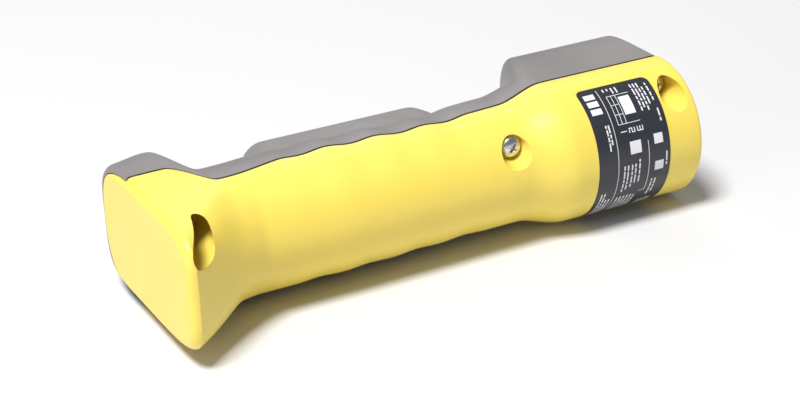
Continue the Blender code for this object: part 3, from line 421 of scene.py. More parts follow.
def back_power(distance):
    """Squareness of the back: boxy at the head, round elsewhere."""
    return ROUND_POWER + HEAD_POWER_GAIN * (1 - ramp(distance, 0.0, FLARE_LENGTH * HEAD_POWER_LENGTH_SHARE))


def front_power(distance):
    """Squareness of the front cover: boxy lip, round middle, square-shouldered hump."""
    lip = LIP_POWER_GAIN * (1 - ramp(distance, LIP_DROP_START, LIP_DROP_LENGTH))
    hump = HUMP_POWER_GAIN * ramp(distance, HUMP_START, HUMP_LENGTH)
    return FRONT_POWER + lip + hump


def body_outline_front(distance):
    """Depth of the body's own outline on the front half, above the axis."""
    head = 1 - ramp(distance, 0.0, FLARE_LENGTH)
    end = ramp(distance, SHOULDER_START, SHOULDER_LENGTH)
    growth = (HEAD_OUTLINE_FRONT - BODY_RADIUS) * head + (END_OUTLINE_FRONT - END_RADIUS) * end
    return half_width(distance) + growth


def parting_half_width(distance):
    """Half width of the grip where the covers meet."""
    reach = body_outline_front(distance) if parting_depth(distance) > 0 else back_depth(distance)
    power = back_power(distance)
    share = min(abs(parting_depth(distance)) / reach, 1.0)
    return half_width(distance) * (1 - share ** power) ** (1 / power)


def signed_power(value, power):
    """Power of a value that keeps its sign."""
    return math.copysign(abs(value) ** power, value)


def back_ring(distance, inset, segments, top=None):
    """Closed section of the back shell: round the back, then straight across at the parting."""
    power = back_power(distance)
    width = half_width(distance) - inset
    back = back_depth(distance) - inset
    front = body_outline_front(distance) - inset
    if top is None:
        top = parting_depth(distance)
    reach = front if top > 0 else back
    start = math.acos(math.copysign(min(abs(top) / reach, 1.0) ** (power / 2), top))
    points = []
    for index in range(segments + 1):
        angle = start + (math.tau - 2 * start) * index / segments
        depth_reach = front if math.cos(angle) > 0 else back
        depth = depth_reach * signed_power(math.cos(angle), 2 / power)
        side = width * signed_power(math.sin(angle), 2 / power)
        points.append(place(distance, depth, side))
    return points


def front_ring(distance, inset, segments, foot_drop=0.0, depth_share=1.0):
    """Closed section of the front shell: an arch over the parting line, inset less in depth if asked."""
    power = front_power(distance)
    foot = parting_depth(distance) + PARTING_GAP
    width = parting_half_width(distance) - inset
    height = front_depth(distance) - inset * depth_share - foot
    points = []
    for index in range(segments + 1):
        angle = math.pi * (index / segments - 0.5)
        depth = foot + height * signed_power(math.cos(angle), 2 / power)
        side = width * signed_power(math.sin(angle), 2 / power)
        points.append(place(distance, depth, side))
    if foot_drop:
        points[0] = place(distance, foot - foot_drop, -width)
        points[-1] = place(distance, foot - foot_drop, width)
    return points


def front_outline(distance, rim_round, foot_drop=0.0):
    """Outer section of the front shell, with a crisper edge along the front of the lip."""
    share = LIP_EDGE_INSET_SHARE if distance < HEAD_EDGE_ROUND else 1.0
    return front_ring(distance, end_inset(distance, rim_round), FRONT_SEGMENTS, foot_drop, share)


def rounded_ring(middle, half_length, half_breadth, corner, depth):
    """Rounded rectangle in the plane across the button's travel."""
    points = []
    for quarter, (along, across) in enumerate(((1, 1), (-1, 1), (-1, -1), (1, -1))):
        for index in range(CORNER_SEGMENTS + 1):
            angle = math.pi / 2 * (quarter + index / CORNER_SEGMENTS)
            distance = middle + along * (half_length - corner) + corner * math.cos(angle)
            side = across * (half_breadth - corner) + corner * math.sin(angle)
            points.append(place(distance, depth, side))
    return points


def even_steps(start, end, count):
    """Evenly spaced values from start to end."""
    return [start + (end - start) * index / count for index in range(count + 1)]


def even_runs(marks, run_steps):
    """Values from mark to mark, evenly spaced within each run."""
    values = [marks[0]]
    for start, end, count in zip(marks, marks[1:], run_steps):
        values += even_steps(start, end, count)[1:]
    return values


def rounded_end_steps(start, radius, inward):
    """Distances that follow a quarter-round edge inward from an end."""
    turns = even_steps(0.0, math.pi / 2, EDGE_ROUND_STEPS)
    return [start + inward * radius * (1 - math.cos(turn)) for turn in turns]


def cover_stations(rim_round):
    """Distances at which the outer skin of a cover has a section."""
    marks = (HEAD_EDGE_ROUND, LIP_PARTING_LENGTH, LIP_END, RIPPLE_START, RIPPLE_END,
             SHOULDER_START, HUMP_END, GRIP_LENGTH - rim_round)
    head_edge = rounded_end_steps(0.0, HEAD_EDGE_ROUND, 1)
    rim = list(reversed(rounded_end_steps(GRIP_LENGTH, rim_round, -1)))
    return head_edge + even_runs(marks, COVER_RUN_STEPS)[1:] + rim[1:]


def cavity_stations(start, end):
    """Distances at which the inside of a cover has a section."""
    marks = (start, LIP_PARTING_LENGTH, LIP_END, SHOULDER_START, HUMP_END, end)
    return even_runs(marks, CAVITY_RUN_STEPS)


def screw_places():
    """Distance, side offset and seat depth of each housing screw."""
    return list(zip(SCREW_STATIONS, SCREW_SPREADS, SCREW_SEATS))


def recess_mouth(distance, seat):
    """Depth and radius of the wide end of a screw recess, clear of the back."""
    mouth = -HEAD_BACK - OVERRUN
    flare = RECESS_FLARES[SCREW_STATIONS.index(distance)]
    return mouth, RECESS_RADIUS + flare * (seat - mouth) / (seat + back_depth(distance))


def boss_radius(distance):
    """Radius of a screw boss, wider at the cable end where it fills the corner."""
    return END_BOSS_RADIUS if distance == SCREW_STATIONS[-1] else BOSS_RADIUS


# Mesh tools

def skin(rings, mesh_data=None):
    """Closed skin over rings of equal count, capped at both ends."""
    mesh_data = mesh_data or bmesh.new()
    rows = [[mesh_data.verts.new(point) for point in ring] for ring in rings]
    count = len(rings[0])
    for lower, upper in zip(rows, rows[1:]):
        for index in range(count):
            after = (index + 1) % count
            mesh_data.faces.new((lower[index], lower[after], upper[after], upper[index]))
    mesh_data.faces.new(rows[0])
    mesh_data.faces.new(list(reversed(rows[-1])))
    return mesh_data


def circle_angles(count):
    """Evenly spaced angles once round a circle."""
    return [math.tau * index / count for index in range(count)]


def turned(profile, distance, side, mesh_data=None):
    """Solid turned about a line along Y, from (radius, depth) points that start and end on it."""
    rings = [[place(distance + radius * math.cos(angle), depth, side + radius * math.sin(angle))
              for angle in circle_angles(ROUND_SEGMENTS)] for radius, depth in profile]
    return skin(rings, mesh_data)


def add_object(name, mesh_data, material=None):
    """Turn a bmesh into a named smooth-shaded object, or into a cutter without a material."""
    bmesh.ops.remove_doubles(mesh_data, verts=mesh_data.verts, dist=WELD_DISTANCE)
    bmesh.ops.connect_verts_nonplanar(mesh_data, angle_limit=PLANAR_ANGLE, faces=mesh_data.faces)
    bmesh.ops.recalc_face_normals(mesh_data, faces=mesh_data.faces)
    mesh = bpy.data.meshes.new(name)
    mesh_data.to_mesh(mesh)
    mesh_data.free()
    item = bpy.data.objects.new(name, mesh)
    bpy.context.scene.collection.objects.link(item)
    if material:
        mesh.materials.append(material)
    mesh.shade_smooth()
    return item


def cut(item, cutter, operation="DIFFERENCE"):
    """Boolean of an object with a cutter or an added form, applied at once."""
    modifier = item.modifiers.new(cutter.name, "BOOLEAN")
    modifier.operation = operation
    modifier.solver = "EXACT"
    modifier.object = cutter
    bpy.context.view_layer.update()
    graph = bpy.context.evaluated_depsgraph_get()
    mesh = bpy.data.meshes.new_from_object(item.evaluated_get(graph))
    item.modifiers.clear()
    old = item.data
    item.data = mesh
    bpy.data.meshes.remove(old)
    bpy.data.objects.remove(cutter, do_unlink=True)


def finish_piece(item, body, slot, *nodes):
    """Smooth the shading, ride on a body and stand for CAD nodes; the slot is not used."""
    item.data.shade_smooth()
    item.data.set_sharp_from_angle(angle=SMOOTH_ANGLE)
    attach(item, body)
    if nodes:
        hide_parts(*nodes)


# Materials

def node_material(name):
    """Empty Principled material with its nodes, links, shader and object coordinates."""
    material = bpy.data.materials.new(name)
    material.use_nodes = True
    tree = material.node_tree
    coordinates = tree.nodes.new("ShaderNodeTexCoord")
    return material, tree, tree.nodes["Principled BSDF"], coordinates.outputs["Object"]


def noise(tree, source, scale, detail=NOISE_DETAIL):
    """Noise texture read at object coordinates."""
    node = tree.nodes.new("ShaderNodeTexNoise")
    node.inputs["Scale"].default_value = scale
    node.inputs["Detail"].default_value = detail
    tree.links.new(source, node.inputs["Vector"])
    return node.outputs["Fac"]


def add_tone(tree, shader, factor, positions, darker, colour):
    """Base colour that changes from a darker tone to a lighter one with a factor."""
    node = tree.nodes.new("ShaderNodeValToRGB")
    for element, position, tone in zip(node.color_ramp.elements, positions, (darker, colour)):
        element.position = position
        element.color = (*tone, 1.0)
    tree.links.new(factor, node.inputs["Fac"])
    tree.links.new(node.outputs["Color"], shader.inputs["Base Color"])


def add_sheen(tree, shader, factor, roughness, spread):
    """Roughness that changes with a factor, by a spread about its middle value."""
    node = tree.nodes.new("ShaderNodeMapRange")
    node.inputs["To Min"].default_value = roughness + spread[0]
    node.inputs["To Max"].default_value = roughness + spread[1]
    tree.links.new(factor, node.inputs["Value"])
    tree.links.new(node.outputs["Result"], shader.inputs["Roughness"])


def bump(tree, height, strength, distance, normal=None):
    """Bump from a height, over another normal if given."""
    node = tree.nodes.new("ShaderNodeBump")
    node.inputs["Strength"].default_value = strength
    node.inputs["Distance"].default_value = distance
    tree.links.new(height, node.inputs["Height"])
    if normal:
        tree.links.new(normal, node.inputs["Normal"])
    return node.outputs["Normal"]


def moulded_plastic(name, colour, darker, roughness, grain_scale, grain_strength):
    """Moulded plastic: a faint tone change, a fine sparked grain and an uneven sheen."""
    material, tree, shader, source = node_material(name)
    add_tone(tree, shader, noise(tree, source, PLASTIC_TONE_SCALE), TONE_POSITIONS, darker, colour)
    add_sheen(tree, shader, noise(tree, source, PLASTIC_SHEEN_SCALE), roughness, PLASTIC_SHEEN_SPREAD)
    waves = noise(tree, source, PLASTIC_FLOW_SCALE, detail=1.0)
    flow = bump(tree, waves, PLASTIC_FLOW_STRENGTH, PLASTIC_FLOW_HEIGHT)
    grain = noise(tree, source, grain_scale, detail=2.0)
    fine = bump(tree, grain, grain_strength, PLASTIC_GRAIN_HEIGHT, flow)
    tree.links.new(fine, shader.inputs["Normal"])
    return material


def yellow_plastic():
    """Warm yellow moulded housing that light enters a little, with a soft satin sheen."""
    material = moulded_plastic("yellow_shell_looks", (0.90, 0.71, 0.125), (0.87, 0.67, 0.11),
                               roughness=0.36, grain_scale=2600.0, grain_strength=0.10)
    shader = material.node_tree.nodes["Principled BSDF"]
    shader.inputs["Subsurface Weight"].default_value = YELLOW_DEPTH_WEIGHT
    shader.inputs["Subsurface Radius"].default_value = YELLOW_DEPTH_RADII
    shader.inputs["Subsurface Scale"].default_value = YELLOW_DEPTH_SCALE
    return material


def soft_rubber(name, colour, darker, roughness, grain_scale):
    """Rubber with a dusty sheen and a matte skin."""
    material, tree, shader, source = node_material(name)
    blotch = noise(tree, source, RUBBER_TONE_SCALE, detail=4.0)
    add_tone(tree, shader, blotch, TONE_POSITIONS, darker, colour)
    add_sheen(tree, shader, noise(tree, source, RUBBER_SHEEN_SCALE), roughness, RUBBER_SHEEN_SPREAD)
    fine = bump(tree, noise(tree, source, grain_scale), RUBBER_GRAIN_STRENGTH, RUBBER_GRAIN_HEIGHT)
    tree.links.new(fine, shader.inputs["Normal"])
    shader.inputs["Sheen Weight"].default_value = RUBBER_DUST_WEIGHT
    shader.inputs["Sheen Roughness"].default_value = RUBBER_DUST_ROUGHNESS
    shader.inputs["Specular IOR Level"].default_value = RUBBER_SPECULAR
    return material


def worked_metal(name, colour, darker, roughness):
    """Plated or turned metal with fine scratches and dull patches."""
    material, tree, shader, source = node_material(name)
    patches = noise(tree, source, METAL_PATCH_SCALE, detail=4.0)
    add_tone(tree, shader, patches, METAL_TONE_POSITIONS, darker, colour)
    add_sheen(tree, shader, patches, roughness, METAL_SHEEN_SPREAD)
    scratches = noise(tree, source, METAL_SCRATCH_SCALE, detail=2.0)
    fine = bump(tree, scratches, METAL_SCRATCH_STRENGTH, METAL_SCRATCH_HEIGHT)
    tree.links.new(fine, shader.inputs["Normal"])
    shader.inputs["Metallic"].default_value = 1.0
    return material


YELLOW = yellow_plastic()
GREY = moulded_plastic("grey_shell_looks", (0.25, 0.237, 0.234), (0.195, 0.184, 0.181),
                       roughness=0.42, grain_scale=1500.0, grain_strength=0.22)
BOOT = soft_rubber("boot_looks", (0.245, 0.231, 0.227), (0.21, 0.198, 0.195),
                   roughness=0.44, grain_scale=2200.0)
# Near-black rubber: the CAD cover seal, and the painted shade of the strips in the joint between the covers
SEAL_AND_GAP_SHADE = soft_rubber("seal_and_gap_shade_looks", (0.012, 0.012, 0.010), (0.008, 0.008, 0.007),
                   roughness=0.75, grain_scale=2600.0)
FILM = moulded_plastic("label_looks", (0.030, 0.032, 0.043), (0.026, 0.028, 0.038),
                       roughness=0.36, grain_scale=3000.0, grain_strength=0.05)
INK = moulded_plastic("print_looks", (0.80, 0.81, 0.83), (0.74, 0.75, 0.77),
                      roughness=0.50, grain_scale=3000.0, grain_strength=0.05)
DARK_PLASTIC = moulded_plastic("block_looks", (0.060, 0.060, 0.065), (0.050, 0.050, 0.055),
                               roughness=0.45, grain_scale=1800.0, grain_strength=0.15)
CORE_PLASTIC = moulded_plastic("core_looks", (0.050, 0.050, 0.055), (0.042, 0.042, 0.047),
                               roughness=0.50, grain_scale=1800.0, grain_strength=0.15)
PALE_PLASTIC = moulded_plastic("plunger_looks", (0.75, 0.74, 0.70), (0.72, 0.71, 0.66),
                               roughness=0.40, grain_scale=2000.0, grain_strength=0.08)
TRAY_PLASTIC = moulded_plastic("tray_looks", (0.55, 0.55, 0.52), (0.52, 0.52, 0.49),
                               roughness=0.50, grain_scale=1800.0, grain_strength=0.12)
GREEN_PLASTIC = moulded_plastic("terminal_looks", (0.08, 0.22, 0.12), (0.07, 0.20, 0.11),
                                roughness=0.50, grain_scale=1800.0, grain_strength=0.12)
ZINC = worked_metal("screw_looks", (0.74, 0.75, 0.78), (0.58, 0.59, 0.62), roughness=0.26)
SPRING = worked_metal("spring_looks", (0.60, 0.60, 0.62), (0.50, 0.50, 0.52), roughness=0.24)
BRASS = worked_metal("brass_looks", (0.75, 0.58, 0.28), (0.66, 0.50, 0.23), roughness=0.32)


# Covers

def plate_rings(end, growth):
    """Sections of the arched front of the end plate, longer than the head at its outer end."""
    foot = NOTCH_PARTING - OVERRUN
    width = parting_half_width(PLATE_THICKNESS) - PLATE_CORNER_INSET + growth
    height = LIP_EDGE_FRONT - PLATE_INSET + growth - NOTCH_PARTING
    rings = []
    for distance in (-OVERRUN, end):
        ring = [place(distance, foot, -width)]
        for index in range(FRONT_SEGMENTS + 1):
            angle = math.pi * (index / FRONT_SEGMENTS - 0.5)
            depth = NOTCH_PARTING + height * signed_power(math.cos(angle), PLATE_POWER_SHARE)
            side = width * signed_power(math.sin(angle), PLATE_POWER_SHARE)
            ring.append(place(distance, depth, side))
        ring.append(place(distance, foot, width))
        rings.append(ring)
    return rings


def end_plate():
    """Arched front of the end plate, flush with the rounded end of the lip."""
    plate = add_object("end_plate", skin(plate_rings(PLATE_THICKNESS, 0.0)))
    stations = rounded_end_steps(0.0, HEAD_EDGE_ROUND, 1) + [LIP_PARTING_LENGTH]
    rings = [front_outline(distance, RIM_ROUND, OVERRUN) for distance in stations]
    cut(plate, add_object("head_outline", skin(rings)), "INTERSECT")
    return plate


def entry_point(distance, radius, angle):
    """Point about the axis of the cable entry."""
    return place(distance, ENTRY_BACK + radius * math.cos(angle), radius * math.sin(angle))


def entry_bore(name, radius, start):
    """Round bar about the cable entry, out through the cable end."""
    rings = [[entry_point(distance, radius, angle) for angle in circle_angles(THREAD_SEGMENTS)]
             for distance in (start, GRIP_LENGTH + OVERRUN)]
    return add_object(name, skin(rings))


def head_recess(name, growth, foot):
    """Drop-shaped scoop over the head's screw, drawn up to a point at the side of the head."""
    distance, side = SCREW_STATIONS[0], SCREW_SPREADS[0]
    mouth = -HEAD_BACK - OVERRUN
    hull = bmesh.new()
    for radius, depth, (ahead, above) in ((HEAD_RECESS_RADIUS, foot, (0.0, 0.0)),
                                          (HEAD_MOUTH_RADIUS, mouth, HEAD_MOUTH_OFFSET),
                                          (HEAD_POINT_RADIUS, mouth, HEAD_POINT_OFFSET)):
        for angle in circle_angles(ROUND_SEGMENTS):
            hull.verts.new(place(distance + ahead + (radius + growth) * math.cos(angle), depth,
                                 side + above + (radius + growth) * math.sin(angle)))
    made = bmesh.ops.convex_hull(hull, input=hull.verts)
    inside = made["geom_interior"] + made["geom_unused"]
    spare = dict.fromkeys(item for item in inside if isinstance(item, bmesh.types.BMVert))
    bmesh.ops.delete(hull, geom=list(spare), context="VERTS")
    return add_object(name, hull)


def back_cavity():
    """Inside of the back cover, with the screw bosses and the entry boss left standing."""
    end = GRIP_LENGTH - END_WALL
    rings = [back_ring(distance, SHELL_WALL, CAVITY_SEGMENTS, parting_depth(distance) + OVERRUN)
             for distance in cavity_stations(PLATE_THICKNESS, end)]
    cavity = add_object("back_cavity", skin(rings))
    bosses = bmesh.new()
    for distance, side, seat in screw_places():
        outer = RECESS_RADIUS + RECESS_WALL
        mouth, mouth_radius = recess_mouth(distance, seat)
        radius = boss_radius(distance)
        top = parting_depth(distance) + 2 * OVERRUN
        step = seat + SEAT_THICKNESS
        profile = ((0.0, mouth), (mouth_radius + RECESS_WALL, mouth), (outer, seat), (outer, step),
                   (radius, step), (radius, top), (0.0, top))
        turned(profile, distance, side, bosses)
    cut(cavity, add_object("back_bosses", bosses))
    cut(cavity, head_recess("head_boss", RECESS_WALL, SCREW_SEATS[0] + SEAT_THICKNESS))
    cut(cavity, entry_bore("back_entry_boss", ENTRY_BOSS_RADIUS, ENTRY_BOSS_START))
    return cavity


def label_arc(distance, radius, angles):
    """Points round the axis of the cable end at one distance."""
    return [place(distance, radius * math.cos(angle), radius * math.sin(angle)) for angle in angles]


def label_sections(radii, growth):
    """Sections of the label along the grip, narrowed at its rounded corners."""
    inner, outer = radii
    start = LABEL_START - growth
    end = LABEL_END + growth
    corner = LABEL_CORNER + growth
    stations = rounded_end_steps(start, corner, 1)
    stations += list(reversed(rounded_end_steps(end, corner, -1)))
    rings = []
    for distance in stations:
        inset = round_inset(distance - start, corner) + round_inset(end - distance, corner)
        spread = LABEL_SPREAD + (growth - inset) / END_RADIUS
        angles = even_steps(math.pi - spread, math.pi + spread, ROUND_SEGMENTS)
        rings.append(label_arc(distance, outer, angles) + label_arc(distance, inner, reversed(angles)))
    return rings


def make_rear_cover():
    """Yellow back shell: flared head, flat end plate, round cable end and screw recesses."""
    rings = [back_ring(distance, end_inset(distance, RIM_ROUND), BACK_SEGMENTS)
             for distance in cover_stations(RIM_ROUND)]
    cover = add_object("rear_shell", skin(rings), YELLOW)
    cut(cover, end_plate(), "UNION")
    cut(cover, back_cavity())
    cutters = bmesh.new()
    for distance, side, seat in screw_places():
        hole = SCREW_RADIUS + SEAT_GAP
        top = parting_depth(distance) + OVERRUN
        mouth, mouth_radius = recess_mouth(distance, seat)
        profile = ((0.0, mouth), (mouth_radius, mouth), (RECESS_RADIUS, seat), (hole, seat),
                   (hole, top), (0.0, top))
        if distance == SCREW_STATIONS[0]:
            start = seat - SCREW_HEAD_HEIGHT
            profile = ((0.0, start), (hole, start), (hole, top), (0.0, top))
        turned(profile, distance, side, cutters)
    cut(cover, add_object("recess_cutter", cutters))
    cut(cover, head_recess("head_scoop", 0.0, SCREW_SEATS[0]))
    cut(cover, entry_bore("back_entry_hole", ENTRY_RADIUS, ENTRY_BOSS_START - OVERRUN))
    radii = (END_RADIUS + LABEL_PROUD - LABEL_THICKNESS - SEAT_GAP, END_RADIUS + OVERRUN)
    cut(cover, add_object("label_pocket", skin(label_sections(radii, SEAT_GAP / 2))))
    finish_piece(cover, "housing", "yellow_shell", "rear_cover")


def make_front_cover():
    """Grey front shell: lip, finger rest, button window with its skirt, and hump."""
    rings = [front_outline(distance, HUMP_END_ROUND) for distance in cover_stations(HUMP_END_ROUND)]
    cover = add_object("front_shell", skin(rings), GREY)
    cut(cover, add_object("plate_clearance", skin(plate_rings(PLATE_THICKNESS + SEAT_GAP, SEAT_GAP))))
    rings = [front_ring(distance, SHELL_WALL, CAVITY_SEGMENTS, OVERRUN)
             for distance in cavity_stations(FRONT_CAVITY_START, GRIP_LENGTH - END_WALL)]
    cavity = add_object("front_cavity", skin(rings))
    half_length = BUTTON_LENGTH / 2 + BUTTON_CLEARANCE
    half_breadth = BUTTON_HALF_WIDTH + BUTTON_CLEARANCE
    corner = BUTTON_CORNER + BUTTON_CLEARANCE
    skirt = [rounded_ring(BUTTON_MIDDLE, half_length + SKIRT_WALL, half_breadth + SKIRT_WALL,
                          corner + SKIRT_WALL, depth) for depth in (BOOT_FOOT, HUMP_FRONT)]
    cut(cavity, add_object("window_skirt", skin(skirt)))
    cut(cavity, entry_bore("front_entry_boss", ENTRY_BOSS_RADIUS, ENTRY_BOSS_START))
    cut(cover, cavity)
    cut(cover, entry_bore("front_entry_hole", ENTRY_RADIUS, ENTRY_BOSS_START - OVERRUN))
    window = [rounded_ring(BUTTON_MIDDLE, half_length, half_breadth, corner, depth)
              for depth in (0.0, HUMP_FRONT + OVERRUN)]
    cut(cover, add_object("window_cutter", skin(window)))
    finish_piece(cover, "housing", "grey_shell", "front_cover")


# Button

def button_rings(inset):
    """Sections of the button's skin at an inset, from its foot to its crowned top."""
    front = BUTTON_FRONT - inset
    corner = BUTTON_CORNER - inset
    half_length = BUTTON_LENGTH / 2 - inset
    half_breadth = BUTTON_HALF_WIDTH - inset
    rings = [rounded_ring(BUTTON_MIDDLE, half_length, half_breadth, corner, depth)
             for depth in (BOOT_FOOT, BOOT_SHOULDER_FRONT - inset)]
    for angle in even_steps(0.0, math.pi / 2, CORNER_SEGMENTS):
        lean = BOOT_END_SLOPE * (BOOT_END_LEAN_SHARE + (1 - BOOT_END_LEAN_SHARE) * math.sin(angle))
        rounding = BOOT_EDGE_ROUND * (1 - math.cos(angle))
        depth = front - BOOT_EDGE_ROUND * (1 - math.sin(angle))
        rings.append(rounded_ring(BUTTON_MIDDLE, half_length - lean - rounding / 2, half_breadth - rounding,
                                  corner, depth))
    return rings


def make_button():
    """Rubber boot over the long button."""
    rings = list(reversed(button_rings(BOOT_WALL))) + button_rings(0.0)
    boot = add_object("rubber_boot", skin(rings), BOOT)
    finish_piece(boot, "button", "boot_rubber", "button_boot")


# Screws

def cross_rings(distance, side, turn, depths):
    """One slot of the cross, turned about the screw's axis and narrower at its foot."""
    rings = []
    for depth, share in zip(depths, (1.0, CROSS_FOOT_SHARE)):
        ring = []
        for along, across in ((-1, -1), (1, -1), (1, 1), (-1, 1)):
            reach = Vector((along * CROSS_HALF_LENGTH * share, across * CROSS_HALF_WIDTH * share))
            reach.rotate(Matrix.Rotation(turn, 2))
            ring.append(place(distance + reach.x, depth, side + reach.y))
        rings.append(ring)
    return rings


def make_screws():
    """Pan-head screws with a cross recess, and their shanks."""
    for number, (distance, side, seat) in enumerate(screw_places(), start=1):
        node = f"housing_screw_{number}"
        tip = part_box(node)[1].y - AXIS_Y
        head = seat - SEAT_GAP
        crown = head - SCREW_HEAD_HEIGHT
        profile = [(0.0, crown)]
        for index in range(1, HEAD_CROWN_STEPS + 1):
            angle = math.pi / 2 * index / HEAD_CROWN_STEPS
            sink = SCREW_HEAD_HEIGHT * HEAD_CROWN_SHARE * (1 - math.cos(angle))
            profile.append((SCREW_HEAD_RADIUS * math.sin(angle), crown + sink))
        profile += [(SCREW_HEAD_RADIUS, head), (SCREW_RADIUS, head), (SCREW_RADIUS, tip), (0.0, tip)]
        screw = add_object(f"cross_screw_{number}", turned(profile, distance, side), ZINC)
        depths = (crown - SEAT_GAP, crown + CROSS_DEPTH)
        for quarter in (0, 1):
            turn = CROSS_TURNS[number - 1] + quarter * math.pi / 2
            cut(screw, add_object("cross_cutter", skin(cross_rings(distance, side, turn, depths))))
        finish_piece(screw, "housing", "screw_steel", node)


# Label

def make_label():
    """Dark label film with rounded corners, set into its pocket."""
    outer = END_RADIUS + LABEL_PROUD
    label = add_object("label_film", skin(label_sections((outer - LABEL_THICKNESS, outer), 0.0)), FILM)
    finish_piece(label, "housing", "label_film", "rating_label")


def print_patch(mesh_data, along, around):
    """Thin printed patch on the label, from its reaches along and round the grip."""
    inner = END_RADIUS + LABEL_PROUD - PRINT_THICKNESS * PRINT_SUNK_SHARE
    outer = inner + PRINT_THICKNESS
    top = math.pi - LABEL_SPREAD
    steps = max(1, math.ceil((around[1] - around[0]) / PRINT_STEP))
    rings = []
    for reach in even_steps(*around, steps):
        angle = top + reach / END_RADIUS
        corners = ((along[0], inner), (along[0], outer), (along[1], outer), (along[1], inner))
        rings.append([place(LABEL_START + at, radius * math.cos(angle), radius * math.sin(angle))
                      for at, radius in corners])
    skin(rings, mesh_data)


def print_row(mesh_data, along, top, bottom, first):
    """Row of thin plain bars of uneven lengths, from a first place in the list of lengths."""
    around = top
    count = first
    while around < bottom - BAR_LENGTHS[0]:
        length = min(BAR_LENGTHS[count % len(BAR_LENGTHS)], bottom - around)
        print_patch(mesh_data, (along, along + BAR_WIDTH), (around, around + length))
        around += length + BAR_GAP
        count += 1


def print_digit(mesh_data, along, around, strokes):
    """Plain numeral made of straight strokes in a small upright field."""
    for across_0, up_0, across_1, up_1 in strokes:
        print_patch(mesh_data, (along + up_0 * DIGIT_HEIGHT, along + up_1 * DIGIT_HEIGHT + DIGIT_STROKE),
                    (around + across_0 * DIGIT_WIDTH, around + across_1 * DIGIT_WIDTH + DIGIT_STROKE))


def make_print():
    """Plain fields, rules, numerals and rows of bars on the label."""
    ink = bmesh.new()
    for along, around in PRINT_FIELDS:
        print_patch(ink, along, around)
    for along, top, bottom in PRINT_RULES_AROUND:
        print_patch(ink, (along, along + RULE_WIDTH), (top, bottom))
    for start, end, around in PRINT_RULES_ALONG:
        print_patch(ink, (start, end), (around, around + RULE_WIDTH))
    for row, (along, top, bottom) in enumerate(PRINT_ROWS):
        print_row(ink, along, top, bottom, BAR_SHIFT * row)
    for along, strokes in zip(DIGIT_PLACES, DIGIT_STROKE_SHARES):
        print_digit(ink, along, DIGIT_TOP, strokes)
    printed = add_object("label_print", ink, INK)
    finish_piece(printed, "housing", "label_film")


# Painted shade in the joint between the covers: a near-black strip

def make_shade_strips():
    """Near-black strips with a rubber finish along the joint: painted shade of the gap, showing as a thin
    line between the yellow and the grey cover.
    """
    for name, sign in (("shade_strip_upper", 1), ("shade_strip_lower", -1)):
        rings = []
        for distance in even_steps(SHADE_STRIP_START, GRIP_LENGTH - RIM_ROUND - SEAT_GAP, SHADE_STRIP_STEPS):
            edge = parting_half_width(distance) - end_inset(distance, RIM_ROUND)
            foot = parting_depth(distance)
            inner, outer = edge - SHADE_STRIP_REACH, edge - SHADE_STRIP_RECESS
            back, front = foot + SHADE_STRIP_GAP, foot + PARTING_GAP - SHADE_STRIP_GAP
            corners = ((inner, back), (outer, back), (outer, front), (inner, front))
            rings.append([place(distance, depth, sign * side) for side, depth in corners])
        # Painted shade: a near-black strip stands where the gap between the covers is in shadow.
        lip = add_object(name, skin(rings), SEAL_AND_GAP_SHADE)
        finish_piece(lip, "housing", "seal_rubber")


# Cable entry

def thread_section(angle, stations):
    """Outline of the thread at one angle about the entry, crests towards the middle."""
    points = [entry_point(distance, ENTRY_RADIUS + THREAD_OVERLAP, angle)
              for distance in (stations[-1], stations[0])]
    for distance in stations:
        fade = min(1.0, (distance - stations[0]) / THREAD_PITCH, (stations[-1] - distance) / THREAD_PITCH)
        share = ((distance - stations[0]) / THREAD_PITCH - angle / math.tau) % 1.0
        crest = THREAD_DEPTH * (1 - abs(2 * share - 1)) * fade
        points.append(entry_point(distance, ENTRY_RADIUS - 2 * THREAD_OVERLAP - crest, angle))
    return points


def make_entry_thread():
    """Internal thread of the cable entry, part in the back cover and part in the front cover."""
    end = GRIP_LENGTH - RIM_ROUND
    count = int((end - ENTRY_BOSS_START) / THREAD_PITCH * THREAD_STEPS)
    stations = even_steps(ENTRY_BOSS_START, end, count)
    parting = parting_depth(GRIP_LENGTH) - ENTRY_BACK
    for name, material, slot, low, high in (
            ("back_thread", YELLOW, "yellow_shell", math.acos(parting / ENTRY_RADIUS), math.pi),
            ("front_thread", GREY, "grey_shell", 0.0, math.acos((parting + PARTING_GAP) / ENTRY_RADIUS))):
        middle = math.pi if low else 0.0
        spread = high - low
        angles = even_steps(middle - spread, middle + spread, math.ceil(spread / math.pi * THREAD_SEGMENTS))
        thread = add_object(name, skin([thread_section(angle, stations) for angle in angles]), material)
        finish_piece(thread, "housing", slot)


# Return springs

def coil_rings(centre, foot, top):
    """Sections of a coil spring's wire, from its foot to its top along the button's travel."""
    rise = top - foot - 2 * SPRING_WIRE_RADIUS
    rings = []
    for share in even_steps(0.0, 1.0, SPRING_TURNS * SPRING_STEPS):
        turn = math.tau * SPRING_TURNS * share
        middle = foot + SPRING_WIRE_RADIUS + rise * share
        ring = []
        for angle in circle_angles(SPRING_SIDES):
            radius = SPRING_RADIUS + SPRING_WIRE_RADIUS * math.cos(angle)
            depth = middle + SPRING_WIRE_RADIUS * math.sin(angle)
            ring.append(Vector((centre + radius * math.cos(turn), depth, AXIS_Z + radius * math.sin(turn))))
        rings.append(ring)
    return rings


def make_springs():
    """Coil springs between the tray and the button, each with a mesh of its own; the real springs shorten
    as the button goes in, these keep the length of the CAD springs.
    """
    for number in (1, 2):
        node = f"return_spring_{number}"
        low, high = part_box(node)
        centre = (low.x + high.x) / 2
        coil = add_object(f"coil_{number}", skin(coil_rings(centre, low.y, high.y)), SPRING)
        finish_piece(coil, "housing", "spring_steel", node)
        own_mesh(coil)


# Carried-over CAD pieces

